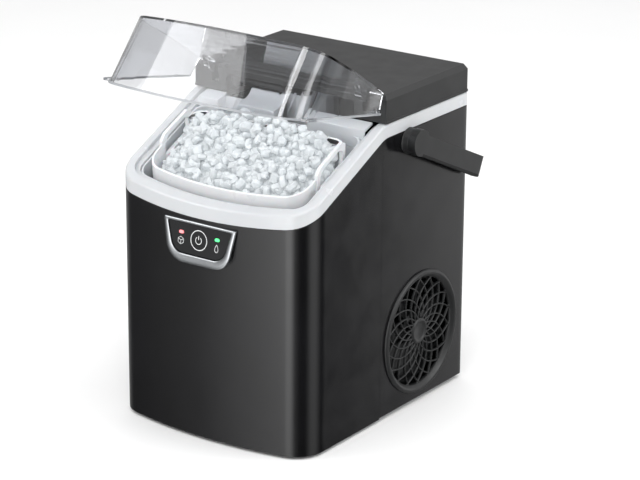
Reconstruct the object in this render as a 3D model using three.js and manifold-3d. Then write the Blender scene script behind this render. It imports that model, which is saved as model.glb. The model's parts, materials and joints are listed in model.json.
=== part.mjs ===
// Countertop nugget ice maker: lid standing open, carry handle folded back.
// Millimetres, +Z up, front towards -Y, origin under the middle of the machine on the counter.

import * as THREE from 'three';
import { mergeVertices } from 'three/addons/utils/BufferGeometryUtils.js';
import Module from 'manifold-3d';

const wasm = await Module();
wasm.setup();

// ---------------------------------------------------------------- driving dimensions

const GAP = 0.3;                 // clearance left between neighbouring pieces
const HALF_W = 111.5;            // half width of the body
const FRONT_Y = -132.5;          // foremost point of the bowed front
const REAR_Y = 146.7;            // rear wall
const MIDDLE_Y = -0.2;           // middle of the depth from the open lid to the folded handle
const FRONT_BOW = 15.6;          // how far the front bows out over its half width
const FRONT_CORNER_R = 29.6;
const REAR_CORNER_R = 4;
const BODY_Z = 3;                // lower edge of the front wrap
const WALL = 2.2;                // moulded wall of the shells
const SEAM_Y = 0;                // joint between front wrap and rear shell

const TRIM_SLOPE = 0.471;        // rise of the sloped basin rim per mm of depth
const TRIM_Z0 = 282.4;           // height of the sloped rim line at y = 0
const TRIM_LEVEL_Z = 284;        // lower edge of the rim where it runs level
const TRIM_BLEND = 7;            // half length of the bend between the two
const TRIM_H = 13.4;             // height of the white band
const TRIM_LEDGE = 9.4;          // inner ledge of the white band above its lower edge
const TRIM_W = 14.5;             // how far the white band reaches inwards

const BASIN_REAR_Y = -8;
const BASIN_FLOOR_Z = 92;
const BASIN_LEDGE = 17;          // width of the ledge that carries the basket
const THROAT = { left: -73, right: 32, z: 277 };  // gap in the basin's rear wall where the ice comes in
const CHUTE = { left: -46, right: -5, rearY: 9, rearZ: 304.5, noseY: -13.3, noseZ: 294.2 };
const DECK = { frontY: -24, z: 274.6 };  // the rear deck lies behind and above this joint with the tub
const SILL = { ridgeY: -10.5, ridgeZ: 293, rearY: 3.8, rearZ: 297 };  // slopes beside the throat
const BASKET_Z = 150;            // underside of the basket
const BASKET = { inset: 21, wall: 2, rearY: -25, floorZ: BASKET_Z, rim: 14.5 };
const BASKET_SLOTS = 5;          // slots in each side and in the floor
const GRIP = { from: -77, to: -33, rise: 8, bar: 4.5, slot: 14 };

const CAP_FRONT_Y = 4.3;
const CAP_Z = TRIM_LEVEL_Z + TRIM_H + GAP;
const CAP_TOP_Z = 325;
const CAP_BEVEL_Z = 320.2;
const CAP_BEVEL = 4;
const CAP_WALL = 2.5;
const CAP_BLOCK_X = 74;          // inner side of the two front blocks that hold the lid
const CAP_NOTCH_Z = 315;         // top of the wide notch between the blocks
const LEVER = { x: -67, y: 11, r: 3, z: 310, len: 62 };

const LID_PIVOT_Y = 14.7;
const LID_PIVOT_Z = 320;
const LID_OPEN = 36;             // degrees that the lid stands open
const LID_REAR_Y = 3.5;
const LID_LIFT = TRIM_H + 1;     // lid rim above the lower edge of the white band
const LID_WALL = 2.2;
const LID_SIDE_DRAFT = 5.7;
const LID_FRONT_DRAFT = 1.6;
const LID_CROWN_Z = 317;         // height of the lid's top over the middle of the crown
const LID_CROWN_Y = -64.5;
const LID_CROWN_LEN = 70;
const EAR_X = 84;                // inner face of each hinge ear
const EAR_T = 7;
const EAR_R = 4.6;
const PIN_R = 2;

const HANDLE_Y = 42.5;
const HANDLE_Z = 273;
const HANDLE_DROP = 24.7;        // degrees that the folded handle hangs below level
const HANDLE_X = 127;            // outer face of the arms
const HANDLE_T = 8;              // thickness of the arms
const HANDLE_LEN = 121;          // pivot to outer face of the grip bar
const HANDLE_HEAD_R = 13;
const HANDLE_TOP = 9.25;         // the arm reaches this far above the line through its pivot
const HANDLE_LOW = 11.75;        // and this far below it
const HANDLE_CHAMFER = 2.5;      // along the lower outer edge of each arm
const GRIP_BAR = { low: 1.5, thick: 5.5 };  // the bar fills only the upper part of the arms' height
const HANDLE_BOSS = { r: 12.4, pinR: 5 };

const GRILLE_Y = 69;
const GRILLE_Z = 73;
const GRILLE_R = 62;             // outside of the raised ring
const GRILLE_OPEN_R = 54.5;      // inside of the raised ring
const GRILLE_HUB_R = 13;
const GRILLE_SPIRALS = 18;       // spiral ribs in each direction
const GRILLE_SWEEP = 52;         // degrees that one rib turns from hub to ring
const GRILLE_RIB = 1.9;
const GRILLE_PLATE = 2.4;
const MIN_CELL = 4.5;            // shorter cells by the hub are left closed

const PANEL_TILT = 7;            // degrees that the panel face looks upwards
const PANEL_PROUD = 1.5;         // how far the panel's top edge stands off the front
const PANEL_TOP_Z = 216.5;
const PANEL_BOTTOM_Z = 176;
const PANEL_TOP_HALF = 41.5;     // half width along the straight top
const PANEL_LOW_HALF = 37.5;     // half width across the lower corners
const PANEL_CORNER_R = 20;
const PANEL_RIM = { top: 2.7, side: 5, low: 5.5, bottom: 8.5, corner: 6 };  // bezel outside the dark face
const BUTTON_Z = 200;
const BUTTON_R = 8.6;
const LAMP_X = 20.7;
const LAMP_Z = 204.4;

const VENT = { slots: 7, from: 34, to: 104, z: 62, pitch: 11, h: 4.5 };
const INLET = { x: 30, z: 48, halfW: 15, halfH: 12 };
const DRAIN = { x: 80, z: 24, r: 6 };

const AUGER_Y = 40;
const BARREL_R = 28;
const BARREL_BORE_R = 21;
const BARREL_Z = 72;
const BARREL_TOP_Z = 258;
const COIL_Z = 92;
const COIL_TURNS = 6;
const COIL_PITCH = 24;
const SEAT_Z = BODY_Z + 2.5 + GAP;  // where the machinery stands on the base pan
const SHROUD_X = 84;             // plate that carries the fan
const PUMP = { x: -50, y: -70 };
const FEET = { x: 84, frontY: -78, rearY: 116 };

// ---------------------------------------------------------------- materials

const FINISH = {
  housing: { color: 0x232426, roughness: 0.32, metalness: 0.2 },
  blackMatt: { color: 0x1b1c1e, roughness: 0.55, metalness: 0 },
  whiteTrim: { color: 0xf2f3f4, roughness: 0.28, metalness: 0 },
  whiteInner: { color: 0xd9dcdf, roughness: 0.4, metalness: 0 },
  clear: { color: 0xb9bdc1, roughness: 0.05, metalness: 0, transparent: true, opacity: 0.35 },
  chrome: { color: 0xc9ccd0, roughness: 0.2, metalness: 1 },
  glossBlack: { color: 0x0b0c0d, roughness: 0.08, metalness: 0 },
  redLens: { color: 0xe0454a, roughness: 0.3, metalness: 0 },
  greenLens: { color: 0x4fd07a, roughness: 0.3, metalness: 0 },
  rubber: { color: 0x2a2a2a, roughness: 0.9, metalness: 0 },
  steel: { color: 0xa9adb2, roughness: 0.35, metalness: 1 },
  copper: { color: 0xb87347, roughness: 0.35, metalness: 1 },
  aluminium: { color: 0xc2c5c8, roughness: 0.45, metalness: 1 },
  paintedSteel: { color: 0x151617, roughness: 0.4, metalness: 0.5 },
  circuitGreen: { color: 0x1f5f3c, roughness: 0.5, metalness: 0 },
  silicone: { color: 0xdfe4e6, roughness: 0.6, metalness: 0 },
};

// ---------------------------------------------------------------- small geometry kit

const rad = THREE.MathUtils.degToRad;

// Closed solid from a three.js geometry: positions only, with shared corners merged.
function solid(geometry) {
  const bare = geometry.index ? geometry.toNonIndexed() : geometry.clone();
  bare.deleteAttribute('normal');
  bare.deleteAttribute('uv');
  const merged = mergeVertices(bare, 1e-4);
  return new wasm.Manifold(new wasm.Mesh({
    numProp: 3,
    vertProperties: new Float32Array(merged.attributes.position.array),
    triVerts: new Uint32Array(merged.index.array),
  }));
}

// Flat-shaded three.js geometry from a solid.
function surface(body) {
  const mesh = body.getMesh();
  const geometry = new THREE.BufferGeometry();
  geometry.setAttribute('position', new THREE.BufferAttribute(new Float32Array(mesh.vertProperties), 3));
  geometry.setIndex(new THREE.BufferAttribute(new Uint32Array(mesh.triVerts), 1));
  geometry.computeVertexNormals();
  return geometry;
}

function box(x0, x1, y0, y1, z0, z1) {
  const geometry = new THREE.BoxGeometry(x1 - x0, y1 - y0, z1 - z0);
  return solid(geometry.translate((x0 + x1) / 2, (y0 + y1) / 2, (z0 + z1) / 2));
}

// Prism of a plan shape (x, y) from z0 up to z1.
function upright(shape, z0, z1, curveSegments = 8) {
  const geometry = new THREE.ExtrudeGeometry(shape, { depth: z1 - z0, bevelEnabled: false, curveSegments });
  return solid(geometry.translate(0, 0, z0));
}

// Prism of a side-view shape (y, z) from x0 to x1.
function crosswise(shape, x0, x1, curveSegments = 8) {
  const geometry = new THREE.ExtrudeGeometry(shape, { depth: x1 - x0, bevelEnabled: false, curveSegments });
  const turn = new THREE.Matrix4().makeBasis(
    new THREE.Vector3(0, 1, 0), new THREE.Vector3(0, 0, 1), new THREE.Vector3(1, 0, 0));
  return solid(geometry.applyMatrix4(turn).translate(x0, 0, 0));
}

// Prism of a front-view shape (x, z) from y1 forwards to y0.
function forwards(shape, y0, y1, curveSegments = 8) {
  const geometry = new THREE.ExtrudeGeometry(shape, { depth: y1 - y0, bevelEnabled: false, curveSegments });
  return solid(geometry.rotateX(Math.PI / 2).translate(0, y1, 0));
}

// Round piece about the Z axis from a closed profile of [radius, z] pairs.
function turned(profile, segments) {
  const points = profile.map(([r, z]) => new THREE.Vector2(r, z));
  const geometry = new THREE.LatheGeometry([...points, points[0].clone()], segments).rotateX(Math.PI / 2);
  return solid(geometry);
}

function disc(r, z0, z1, segments = 24) {
  const geometry = new THREE.CylinderGeometry(r, r, z1 - z0, segments).rotateX(Math.PI / 2);
  return solid(geometry.translate(0, 0, (z0 + z1) / 2));
}

// Round bar along X.
function bar(r, x0, x1, y, z, segments = 16) {
  const geometry = new THREE.CylinderGeometry(r, r, x1 - x0, segments).rotateZ(Math.PI / 2);
  return solid(geometry.translate((x0 + x1) / 2, y, z));
}

function tube(points, radius, sides, steps) {
  const path = new THREE.CatmullRomCurve3(points.map((p) => new THREE.Vector3(...p)));
  const section = ring(0, 0, radius, sides);
  return solid(new THREE.ExtrudeGeometry(section, { extrudePath: path, steps, bevelEnabled: false }));
}

// Points of a circular arc, both ends included, angles in degrees.
function arc(cx, cy, r, from, to, steps) {
  const points = [];
  for (let i = 0; i <= steps; i += 1) {
    const a = rad(from + ((to - from) * i) / steps);
    points.push(new THREE.Vector2(cx + r * Math.cos(a), cy + r * Math.sin(a)));
  }
  return points;
}

function polygon(points) {
  return new THREE.Shape(points.map((p) => (p.isVector2 ? p : new THREE.Vector2(p[0], p[1]))));
}

function ring(cx, cy, r, steps) {
  return polygon(arc(cx, cy, r, 0, 360, steps).slice(0, -1));
}

function roundedRect(x0, x1, y0, y1, r, steps = 3) {
  return polygon([
    ...arc(x1 - r, y0 + r, r, -90, 0, steps),
    ...arc(x1 - r, y1 - r, r, 0, 90, steps),
    ...arc(x0 + r, y1 - r, r, 90, 180, steps),
    ...arc(x0 + r, y0 + r, r, 180, 270, steps),
  ]);
}

// Loft through matched rings of Vector3. The ends are closed in plan, or as fans where the rings
// are small and convex.
function loft(rings, fanEnds = false) {
  const count = rings[0].length;
  const position = rings.flat().flatMap((p) => [p.x, p.y, p.z]);
  const index = [];
  for (let k = 0; k + 1 < rings.length; k += 1) {
    for (let i = 0; i < count; i += 1) {
      const a = k * count + i;
      const b = k * count + ((i + 1) % count);
      index.push(a, b, b + count, a, b + count, a + count);
    }
  }
  const last = (rings.length - 1) * count;
  for (const [a, b, c] of endFaces(rings[0], fanEnds)) index.push(a, c, b);
  for (const [a, b, c] of endFaces(rings.at(-1), fanEnds)) index.push(last + a, last + b, last + c);
  return indexed(position, index);
}

function endFaces(ring, fan) {
  if (fan) return ring.slice(2).map((_, i) => [0, i + 1, i + 2]);
  return THREE.ShapeUtils.triangulateShape(ring.map((p) => new THREE.Vector2(p.x, p.y)), []);
}

// Closed hoop: each section corner [inset, height(y)] is swept once round the outline.
function hoop(outline, section) {
  const rings = section.map(([inset, height]) => outline(inset).map((p) => [p.x, p.y, height(p.y)]));
  const count = rings[0].length;
  const index = [];
  for (let k = 0; k < rings.length; k += 1) {
    const next = ((k + 1) % rings.length) * count;
    for (let i = 0; i < count; i += 1) {
      const j = (i + 1) % count;
      index.push(k * count + i, k * count + j, next + j, k * count + i, next + j, next + i);
    }
  }
  return indexed(rings.flat(2), index);
}

function indexed(position, index) {
  const geometry = new THREE.BufferGeometry();
  geometry.setAttribute('position', new THREE.Float32BufferAttribute(position, 3));
  geometry.setIndex(index);
  return solid(geometry);
}

const fixed = (z) => () => z;
const rimLine = (lift) => (y) => trimLow(y) + lift;

// ---------------------------------------------------------------- the body's outline

const FRONT_ARC_R = (HALF_W ** 2 + FRONT_BOW ** 2) / (2 * FRONT_BOW);
const FRONT_ARC_Y = FRONT_Y + FRONT_ARC_R;

// Plan outline, anticlockwise: bowed front, two large front corners, straight sides, small rear
// corners. The inset moves it inwards; the number of points stays the same for every inset.
function outline({
  inset = 0, rearY = REAR_Y, rearR = REAR_CORNER_R, cornerR = FRONT_CORNER_R, stations = [],
}) {
  const arcR = FRONT_ARC_R - inset;
  const side = HALF_W - inset;
  const r = Math.max(cornerR - inset, 4);
  const cx = side - r;
  const cy = FRONT_ARC_Y - Math.sqrt((arcR - r) ** 2 - cx ** 2);
  const turn = THREE.MathUtils.radToDeg(Math.atan2(cy - FRONT_ARC_Y, cx));
  const rr = Math.max(rearR - inset, 0.6);
  const back = rearY - inset;
  const right = [
    ...arc(0, FRONT_ARC_Y, arcR, -90, turn, 5),
    ...arc(cx, cy, r, turn, 0, 6).slice(1),
    ...stations.map((y) => new THREE.Vector2(side, y)),
    ...arc(side - rr, back - rr, rr, 0, 90, 3),
  ];
  const left = right.slice(1).reverse().map((p) => new THREE.Vector2(-p.x, p.y));
  return [...right, ...left];
}

const BEND_STATIONS = [-0.9, -0.4, 0, 0.4, 1].map((t) => SEAM_Y + 3.4 + t * TRIM_BLEND);
const bodyOutline = (inset) => outline({ inset, stations: BEND_STATIONS });

// Lower edge of the white band: a straight slope that bends into the level run.
function trimLow(y) {
  const meet = (TRIM_LEVEL_Z - TRIM_Z0) / TRIM_SLOPE;
  const from = meet - TRIM_BLEND;
  if (y <= from) return TRIM_Z0 + TRIM_SLOPE * y;
  if (y >= meet + TRIM_BLEND) return TRIM_LEVEL_Z;
  return TRIM_Z0 + TRIM_SLOPE * y - (TRIM_SLOPE * (y - from) ** 2) / (4 * TRIM_BLEND);
}

// ---------------------------------------------------------------- assembly helpers

const machine = new THREE.Group();
machine.position.y = -MIDDLE_Y;

function place(name, finish, body, parent = machine) {
  const mesh = new THREE.Mesh(surface(body), new THREE.MeshStandardMaterial(FINISH[finish]));
  mesh.name = name;
  parent.add(mesh);
  return mesh;
}

const SIDES = [['left', -1], ['right', 1]];

// ---------------------------------------------------------------- housing

// Both shells are one wall swept round the outline and parted at the seam.
function shellWall(bottomZ) {
  return hoop(bodyOutline, [
    [0, fixed(bottomZ)],
    [0, rimLine(-GAP)],
    [WALL, rimLine(-GAP)],
    [WALL, fixed(bottomZ)],
  ]);
}

function frontShell() {
  const half = box(-150, 150, -200, SEAM_Y - GAP / 2, 0, 400);
  const opening = forwards(panelShape(0.5), FRONT_Y - 5, FRONT_Y + 20);
  return shellWall(BODY_Z).intersect(half).subtract(opening);
}

function rearShell() {
  let wall = shellWall(BODY_Z + 1.5).intersect(box(-150, 150, SEAM_Y + GAP / 2, 200, 0, 400));
  wall = wall.subtract(bar(GRILLE_R - 4, 90, 130, GRILLE_Y, GRILLE_Z, 36));
  for (let i = 0; i < VENT.slots; i += 1) {
    const z = VENT.z + i * VENT.pitch;
    const slot = roundedRect(VENT.from, VENT.to, z, z + VENT.h, 2, 1);
    wall = wall.subtract(crosswise(slot, -120, -100));
  }
  const inlet = roundedRect(INLET.x - INLET.halfW - GAP, INLET.x + INLET.halfW + GAP,
    INLET.z - INLET.halfH - GAP, INLET.z + INLET.halfH + GAP, 3);
  wall = wall.subtract(forwards(inlet, REAR_Y - 10, REAR_Y + 10));
  return wall.subtract(forwards(ring(DRAIN.x, DRAIN.z, DRAIN.r + GAP, 16), REAR_Y - 10, REAR_Y + 10));
}

function basePan() {
  const pan = upright(polygon(bodyOutline(WALL + GAP)), BODY_Z + 0.5, 14);
  return pan.subtract(upright(polygon(bodyOutline(WALL + GAP + 2)), BODY_Z + 2.5, 20));
}

function foot() {
  return turned([[0, 0], [8.2, 0], [9, 0.8], [8.4, BODY_Z + 0.2], [0, BODY_Z + 0.2]], 14);
}

// White band round the top: crowned outer edge, flat top, inner ledge and a hanging lip.
function topFrame() {
  return hoop(bodyOutline, [
    [0, rimLine(0)],
    [0, rimLine(TRIM_H - 1.8)],
    [0.6, rimLine(TRIM_H - 0.5)],
    [2, rimLine(TRIM_H)],
    [8.8, rimLine(TRIM_H)],
    [9.4, rimLine(TRIM_LEDGE)],
    [TRIM_W, rimLine(TRIM_LEDGE)],
    [TRIM_W, rimLine(-2)],
    [TRIM_W - 2, rimLine(-2)],
    [TRIM_W - 2, rimLine(TRIM_LEDGE - 2)],
    [WALL, rimLine(TRIM_LEDGE - 2)],
    [WALL, rimLine(0)],
  ]);
}

// ---------------------------------------------------------------- basin, chute and basket

const basinOutline = (inset) => outline({
  inset, rearY: BASIN_REAR_Y + TRIM_W, rearR: TRIM_W + 12, stations: [-60],
});

// Ring of the basin outline at one inset and height rule.
function basinRing(inset, height) {
  return basinOutline(inset).map((p) => new THREE.Vector3(p.x, p.y, height(p.y)));
}

// Tub and rear deck in one. The narrow lower part of the tub is the water reservoir, the ledge above
// it carries the basket, and the deck runs back under the top cap.
function basinBody() {
  const outer = TRIM_W + GAP;
  const inner = outer + WALL;
  const ledgeZ = BASKET_Z - GAP;
  const tub = loft([
    basinRing(outer + BASIN_LEDGE, fixed(BASIN_FLOOR_Z)),
    basinRing(outer + BASIN_LEDGE, fixed(ledgeZ - 5)),
    basinRing(outer, fixed(ledgeZ - WALL)),
    basinRing(outer, rimLine(TRIM_LEDGE - 2)),
  ]);
  const hollow = loft([
    basinRing(inner + BASIN_LEDGE, fixed(BASIN_FLOOR_Z + WALL)),
    basinRing(inner + BASIN_LEDGE, fixed(ledgeZ - 0.2)),
    basinRing(inner, fixed(ledgeZ)),
    basinRing(inner, rimLine(30)),
  ]);
  const shelf = box(-HALF_W + outer, HALF_W - outer, BASIN_REAR_Y - 9, CAP_FRONT_Y - 1, 280, 282.4);
  const throat = box(THROAT.left, THROAT.right, BASIN_REAR_Y - 12, 20, THROAT.z, 320);
  let liner = tub.add(shelf).subtract(hollow).subtract(throat);
  liner = liner.add(sill(-HALF_W + outer, THROAT.left, THROAT.left - WALL));
  liner = liner.add(sill(THROAT.right, HALF_W - outer, THROAT.right));
  return liner.add(throatFloor());
}

const behindJoint = (gap) => box(-HALF_W, HALF_W, DECK.frontY + gap, 30, DECK.z + gap, 330);

// Open tub, cut down at its rear to carry the deck.
function basinLiner() {
  return basinBody().subtract(behindJoint(-GAP / 2));
}

// White deck that rests on the rear of the tub: two sloped sills, and the throat between them.
function rearDeck() {
  return basinBody().intersect(behindJoint(GAP / 2));
}

// Sloped sill between the basin and the top cap, closed at its throat end by a web.
function sill(x0, x1, webX) {
  const { ridgeY, ridgeZ, rearY, rearZ } = SILL;
  const sag = 0.6;
  const top = [
    [ridgeY, ridgeZ - 1.2], [ridgeY + 0.4, ridgeZ - 0.3], [ridgeY + 1.4, ridgeZ],
    [(ridgeY + rearY) / 2, (ridgeZ + rearZ) / 2 - sag], [rearY, rearZ],
  ];
  const skin = polygon([
    ...top, [rearY, rearZ - WALL], [ridgeY + WALL, ridgeZ - WALL - 0.4],
    [ridgeY + WALL, 281], [ridgeY, 281],
  ]);
  const web = polygon([...top, [rearY, THROAT.z - WALL], [ridgeY, THROAT.z - WALL]]);
  return crosswise(skin, x0, x1).add(crosswise(web, webX, webX + WALL));
}

// Floor of the throat, with a low kerb behind the chute and a full back wall to the left of it.
function throatFloor() {
  const { left, right, z } = THROAT;
  const backY = CAP_FRONT_Y - 1;
  const floor = box(left - WALL, right + WALL, SILL.ridgeY, backY, z - WALL, z);
  const back = box(left - WALL, CHUTE.left - GAP, backY - 2, backY, z - WALL, 294);
  const kerb = box(CHUTE.left - GAP, right + WALL, backY - 2, backY, z - WALL, z + 4);
  return floor.add(back).add(kerb);
}

// Scoop that drops the nuggets into the basket: a dished ramp with a front skirt and two end webs
// that stand on the floor of the throat.
function iceChute() {
  const { left, right, rearY, rearZ, noseY, noseZ } = CHUTE;
  const wall = 2.4;
  const skirtZ = 268;
  const footZ = THROAT.z + GAP;
  const top = new THREE.QuadraticBezierCurve(
    new THREE.Vector2(rearY, rearZ), new THREE.Vector2(rearY - 4, noseZ + 0.8),
    new THREE.Vector2(noseY + 1.6, noseZ));
  const under = new THREE.QuadraticBezierCurve(
    new THREE.Vector2(noseY + wall, noseZ - wall), new THREE.Vector2(rearY - 2.5, noseZ - wall),
    new THREE.Vector2(rearY + wall, rearZ));
  const crest = [...top.getPoints(6), [noseY + 0.4, noseZ - 0.5], [noseY, noseZ - 1.6]];
  const ramp = polygon([...crest, [noseY, skirtZ], [noseY + wall, skirtZ], ...under.getPoints(6)]);
  const web = polygon([...crest, [noseY, footZ], [0.8, footZ], [0.8, noseZ - 10], [rearY - 3, noseZ + 1]]);
  return crosswise(ramp, left, right)
    .add(crosswise(web, left, left + wall))
    .add(crosswise(web, right - wall, right));
}

const basketOutline = (inset) => outline({
  inset, rearY: BASKET.rearY + BASKET.inset, rearR: BASKET.inset + 14, cornerR: BASKET.inset + 22,
  stations: [-60],
});

// Side view of a grip: a band that rises above the sloped basket rim, with cut-off shoulders.
function gripShape(margin, low, high) {
  const at = (y, lift) => [y, trimLow(y) + lift];
  const from = GRIP.from + margin;
  const to = GRIP.to - margin;
  return polygon([
    at(from, low), at(to, low), at(to, high - 4), at(to - 5, high), at(from + 5, high), at(from, high - 4),
  ]);
}

// Lift-out basket: sloped rim, slotted sides and floor, and a raised grip loop on each side.
function iceBasket() {
  const { inset, wall, floorZ, rim } = BASKET;
  const at = (d, height) => basketOutline(d).map((p) => new THREE.Vector3(p.x, p.y, height(p.y)));
  const outer = loft([
    at(inset + 9, fixed(floorZ)), at(inset + 6, fixed(floorZ + 4)), at(inset, rimLine(rim)),
  ]);
  const inner = loft([
    at(inset + wall + 9, fixed(floorZ + wall)), at(inset + wall + 6, fixed(floorZ + wall + 3)),
    at(inset + wall, rimLine(rim)), at(inset + wall, rimLine(rim + 30)),
  ]);
  let basket = outer;
  for (const [, sign] of SIDES) {
    const x = sign * (HALF_W - inset - 0.4);
    basket = basket.add(crosswise(gripShape(0, rim - GRIP.slot - 6, rim + GRIP.rise), x - 1.8, x + 1.8));
  }
  basket = basket.subtract(inner);
  const fingerHole = gripShape(GRIP.bar, rim - GRIP.slot, rim + GRIP.rise - GRIP.bar);
  basket = basket.subtract(crosswise(fingerHole, -120, 120));
  for (let i = 0; i < BASKET_SLOTS; i += 1) {
    const y = -84 + i * 11;
    basket = basket.subtract(crosswise(roundedRect(y, y + 4, 172, 206, 1.4, 1), -120, 120));
    const x = -44 + i * 20;
    basket = basket.subtract(upright(roundedRect(x, x + 8, -84, -44, 3.9, 1), floorZ - 5, floorZ + 10));
  }
  return basket;
}

// ---------------------------------------------------------------- lid and top cap

// Outline of the lid, drawn in at its top by different amounts on the sides and the front.
function lidRing(wall, drawn, height) {
  const sideScale = (HALF_W - wall - drawn * LID_SIDE_DRAFT) / (HALF_W - wall);
  const points = outline({ inset: wall, rearY: LID_REAR_Y + 20, rearR: 2, stations: [-60, -20] });
  return points.map((p) => new THREE.Vector3(
    p.x * sideScale, p.y + drawn * LID_FRONT_DRAFT * (p.y < -90 ? 1 : 0), height(p.y)));
}

const lidTop = (y) => {
  const t = (y - LID_CROWN_Y) / LID_CROWN_LEN;
  return LID_CROWN_Z + 5.76 * t - 2.97 * t * t;
};

// Side view of the space between the lid's rim plane and its crowned top, both set in by wall.
function lidProfile(wall, low, rear) {
  const top = [];
  for (let i = 0; i <= 7; i += 1) {
    const y = rear + ((FRONT_Y - 5 - rear) * i) / 7;
    top.push([y, lidTop(y) - wall]);
  }
  return polygon([[FRONT_Y - 5, trimLow(FRONT_Y - 5) + low], [rear, trimLow(rear) + low], ...top]);
}

function lidBody() {
  const straight = (lift) => (y) => TRIM_Z0 + TRIM_SLOPE * y + lift;
  const block = loft([lidRing(0, 0, straight(LID_LIFT)), lidRing(0, 1, fixed(330))]);
  const hollow = loft([lidRing(LID_WALL, -0.05, straight(LID_LIFT - 4)), lidRing(LID_WALL, 1, fixed(330))]);
  let lid = block.intersect(crosswise(lidProfile(0, LID_LIFT, LID_REAR_Y), -HALF_W - 5, HALF_W + 5));
  lid = lid.add(lidFlange());
  const room = crosswise(lidProfile(LID_WALL, -20, LID_REAR_Y + 10), -HALF_W - 5, HALF_W + 5);
  lid = lid.subtract(hollow.intersect(room));
  for (const [, sign] of SIDES) {
    lid = lid.add(fingerTab(sign)).add(hingeEar(sign));
  }
  return lid;
}

// Thin rim that runs round the lid's open edge.
function lidFlange() {
  const rim = (inset, lift) => lidRing(inset, 0, (y) => TRIM_Z0 + TRIM_SLOPE * y + lift);
  const plate = loft([rim(-1.2, LID_LIFT), rim(-1.2, LID_LIFT + 2)]);
  return plate.intersect(box(-150, 150, -200, LID_REAR_Y, 200, 330));
}

// Small lip by a front corner, for lifting the lid.
function fingerTab(sign) {
  const y = -101;
  const plan = roundedRect(-8, 8, -9, 9, 4);
  const slope = Math.atan(TRIM_SLOPE);
  const tab = upright(plan, 0, 2).rotate([THREE.MathUtils.radToDeg(slope), 0, 0]);
  const spot = tab.translate([sign * (HALF_W - 2), y, TRIM_Z0 + TRIM_SLOPE * y + LID_LIFT]);
  return spot.subtract(crosswise(lidProfile(0, LID_LIFT - 40, 0), -HALF_W + 1, HALF_W - 1));
}

// Knuckle that reaches back from the lid to its hinge pin.
function hingeEar(sign) {
  const x = sign > 0 ? EAR_X : -EAR_X - EAR_T;
  const profile = polygon([
    ...arc(LID_PIVOT_Y, LID_PIVOT_Z, EAR_R, -100, 75, 8), [LID_REAR_Y - 1, lidTop(0) - 0.2],
    [-14, lidTop(-14) - 0.4], [-14, lidTop(-14) - 3.5], [-6, 309], [LID_REAR_Y, 308],
  ]);
  const bore = bar(PIN_R + GAP, -120, 120, LID_PIVOT_Y, LID_PIVOT_Z, 12);
  return crosswise(profile, x, x + EAR_T).subtract(bore);
}

// Plan outline of the cap, square at its front edge.
function capRing(inset, z) {
  const full = outline({ inset, stations: [] });
  const front = CAP_FRONT_Y + Math.max(inset, 0);
  const rear = full.filter((p) => p.y > 50);
  const right = rear.filter((p) => p.x > 0);
  const left = rear.filter((p) => p.x < 0);
  const side = HALF_W - inset;
  return [new THREE.Vector2(side, front), ...right, ...left, new THREE.Vector2(-side, front)]
    .map((p) => new THREE.Vector3(p.x, p.y, z));
}

// Hollow cover of the machine compartment, open below, with two front blocks that hold the lid.
function topCap() {
  const shell = loft([
    capRing(-0.8, CAP_Z), capRing(-0.8, CAP_Z + 1.8), capRing(0, CAP_Z + 2.4), capRing(0, CAP_BEVEL_Z),
    capRing(CAP_BEVEL, CAP_TOP_Z),
  ]);
  const hollow = loft([
    capRing(CAP_WALL, CAP_Z - 5), capRing(CAP_WALL, CAP_BEVEL_Z - 1.5),
    capRing(CAP_BEVEL + 1.5, CAP_TOP_Z - CAP_WALL),
  ]);
  let cap = shell.subtract(hollow);
  const roof = CAP_TOP_Z - 1;
  for (const [, sign] of SIDES) {
    const cheek = (x0, x1, y1, z0) => box(
      Math.min(sign * x0, sign * x1), Math.max(sign * x0, sign * x1), CAP_FRONT_Y + 1, y1, z0, roof);
    cap = cap.add(cheek(CAP_BLOCK_X, CAP_BLOCK_X + 2.4, 34, CAP_Z));
    cap = cap.add(cheek(EAR_X - 3.4, EAR_X - 0.5, 24, 311));
    cap = cap.add(cheek(EAR_X + EAR_T + 0.5, EAR_X + EAR_T + 3.4, 24, 311));
    cap = cap.subtract(earSlot(sign));
    const pinX = sign * (EAR_X + EAR_T / 2);
    cap = cap.subtract(bar(PIN_R + GAP, pinX - 8, pinX + 8, LID_PIVOT_Y, LID_PIVOT_Z, 12));
  }
  const notch = roundedRect(-CAP_BLOCK_X, CAP_BLOCK_X, CAP_Z - 20, CAP_NOTCH_Z, 5, 3);
  cap = cap.subtract(forwards(notch, CAP_FRONT_Y - 5, CAP_FRONT_Y + CAP_WALL + 1));
  const stud = disc(2.2, 304, roof, 12).add(disc(3.8, 303.6, 305.6, 12));
  return cap.add(stud.translate([LEVER.x, LEVER.y, 0]));
}

// Slot that lets a hinge ear swing up through the front and roof of the cap.
function earSlot(sign) {
  const x0 = sign > 0 ? EAR_X - 0.5 : -EAR_X - EAR_T - 0.5;
  return box(x0, x0 + EAR_T + 1, CAP_FRONT_Y - 5, LID_PIVOT_Y + EAR_R + 0.8, 306, CAP_TOP_Z + 5);
}

// Bar that the rising heap of ice pushes forward to stop the machine.
function levelLever() {
  const hub = disc(5, LEVER.z - 4, LEVER.z + 3.4, 16);
  const arm = bar(LEVER.r, 0, LEVER.len, 0, 0, 12).translate([0, 0, LEVER.z]);
  const cap = bar(LEVER.r + 0.9, LEVER.len - 2, LEVER.len, 0, 0, 12).translate([0, 0, LEVER.z]);
  return hub.add(arm).add(cap).subtract(disc(2.5, 290, 330, 12));
}

// ---------------------------------------------------------------- carry handle

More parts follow.
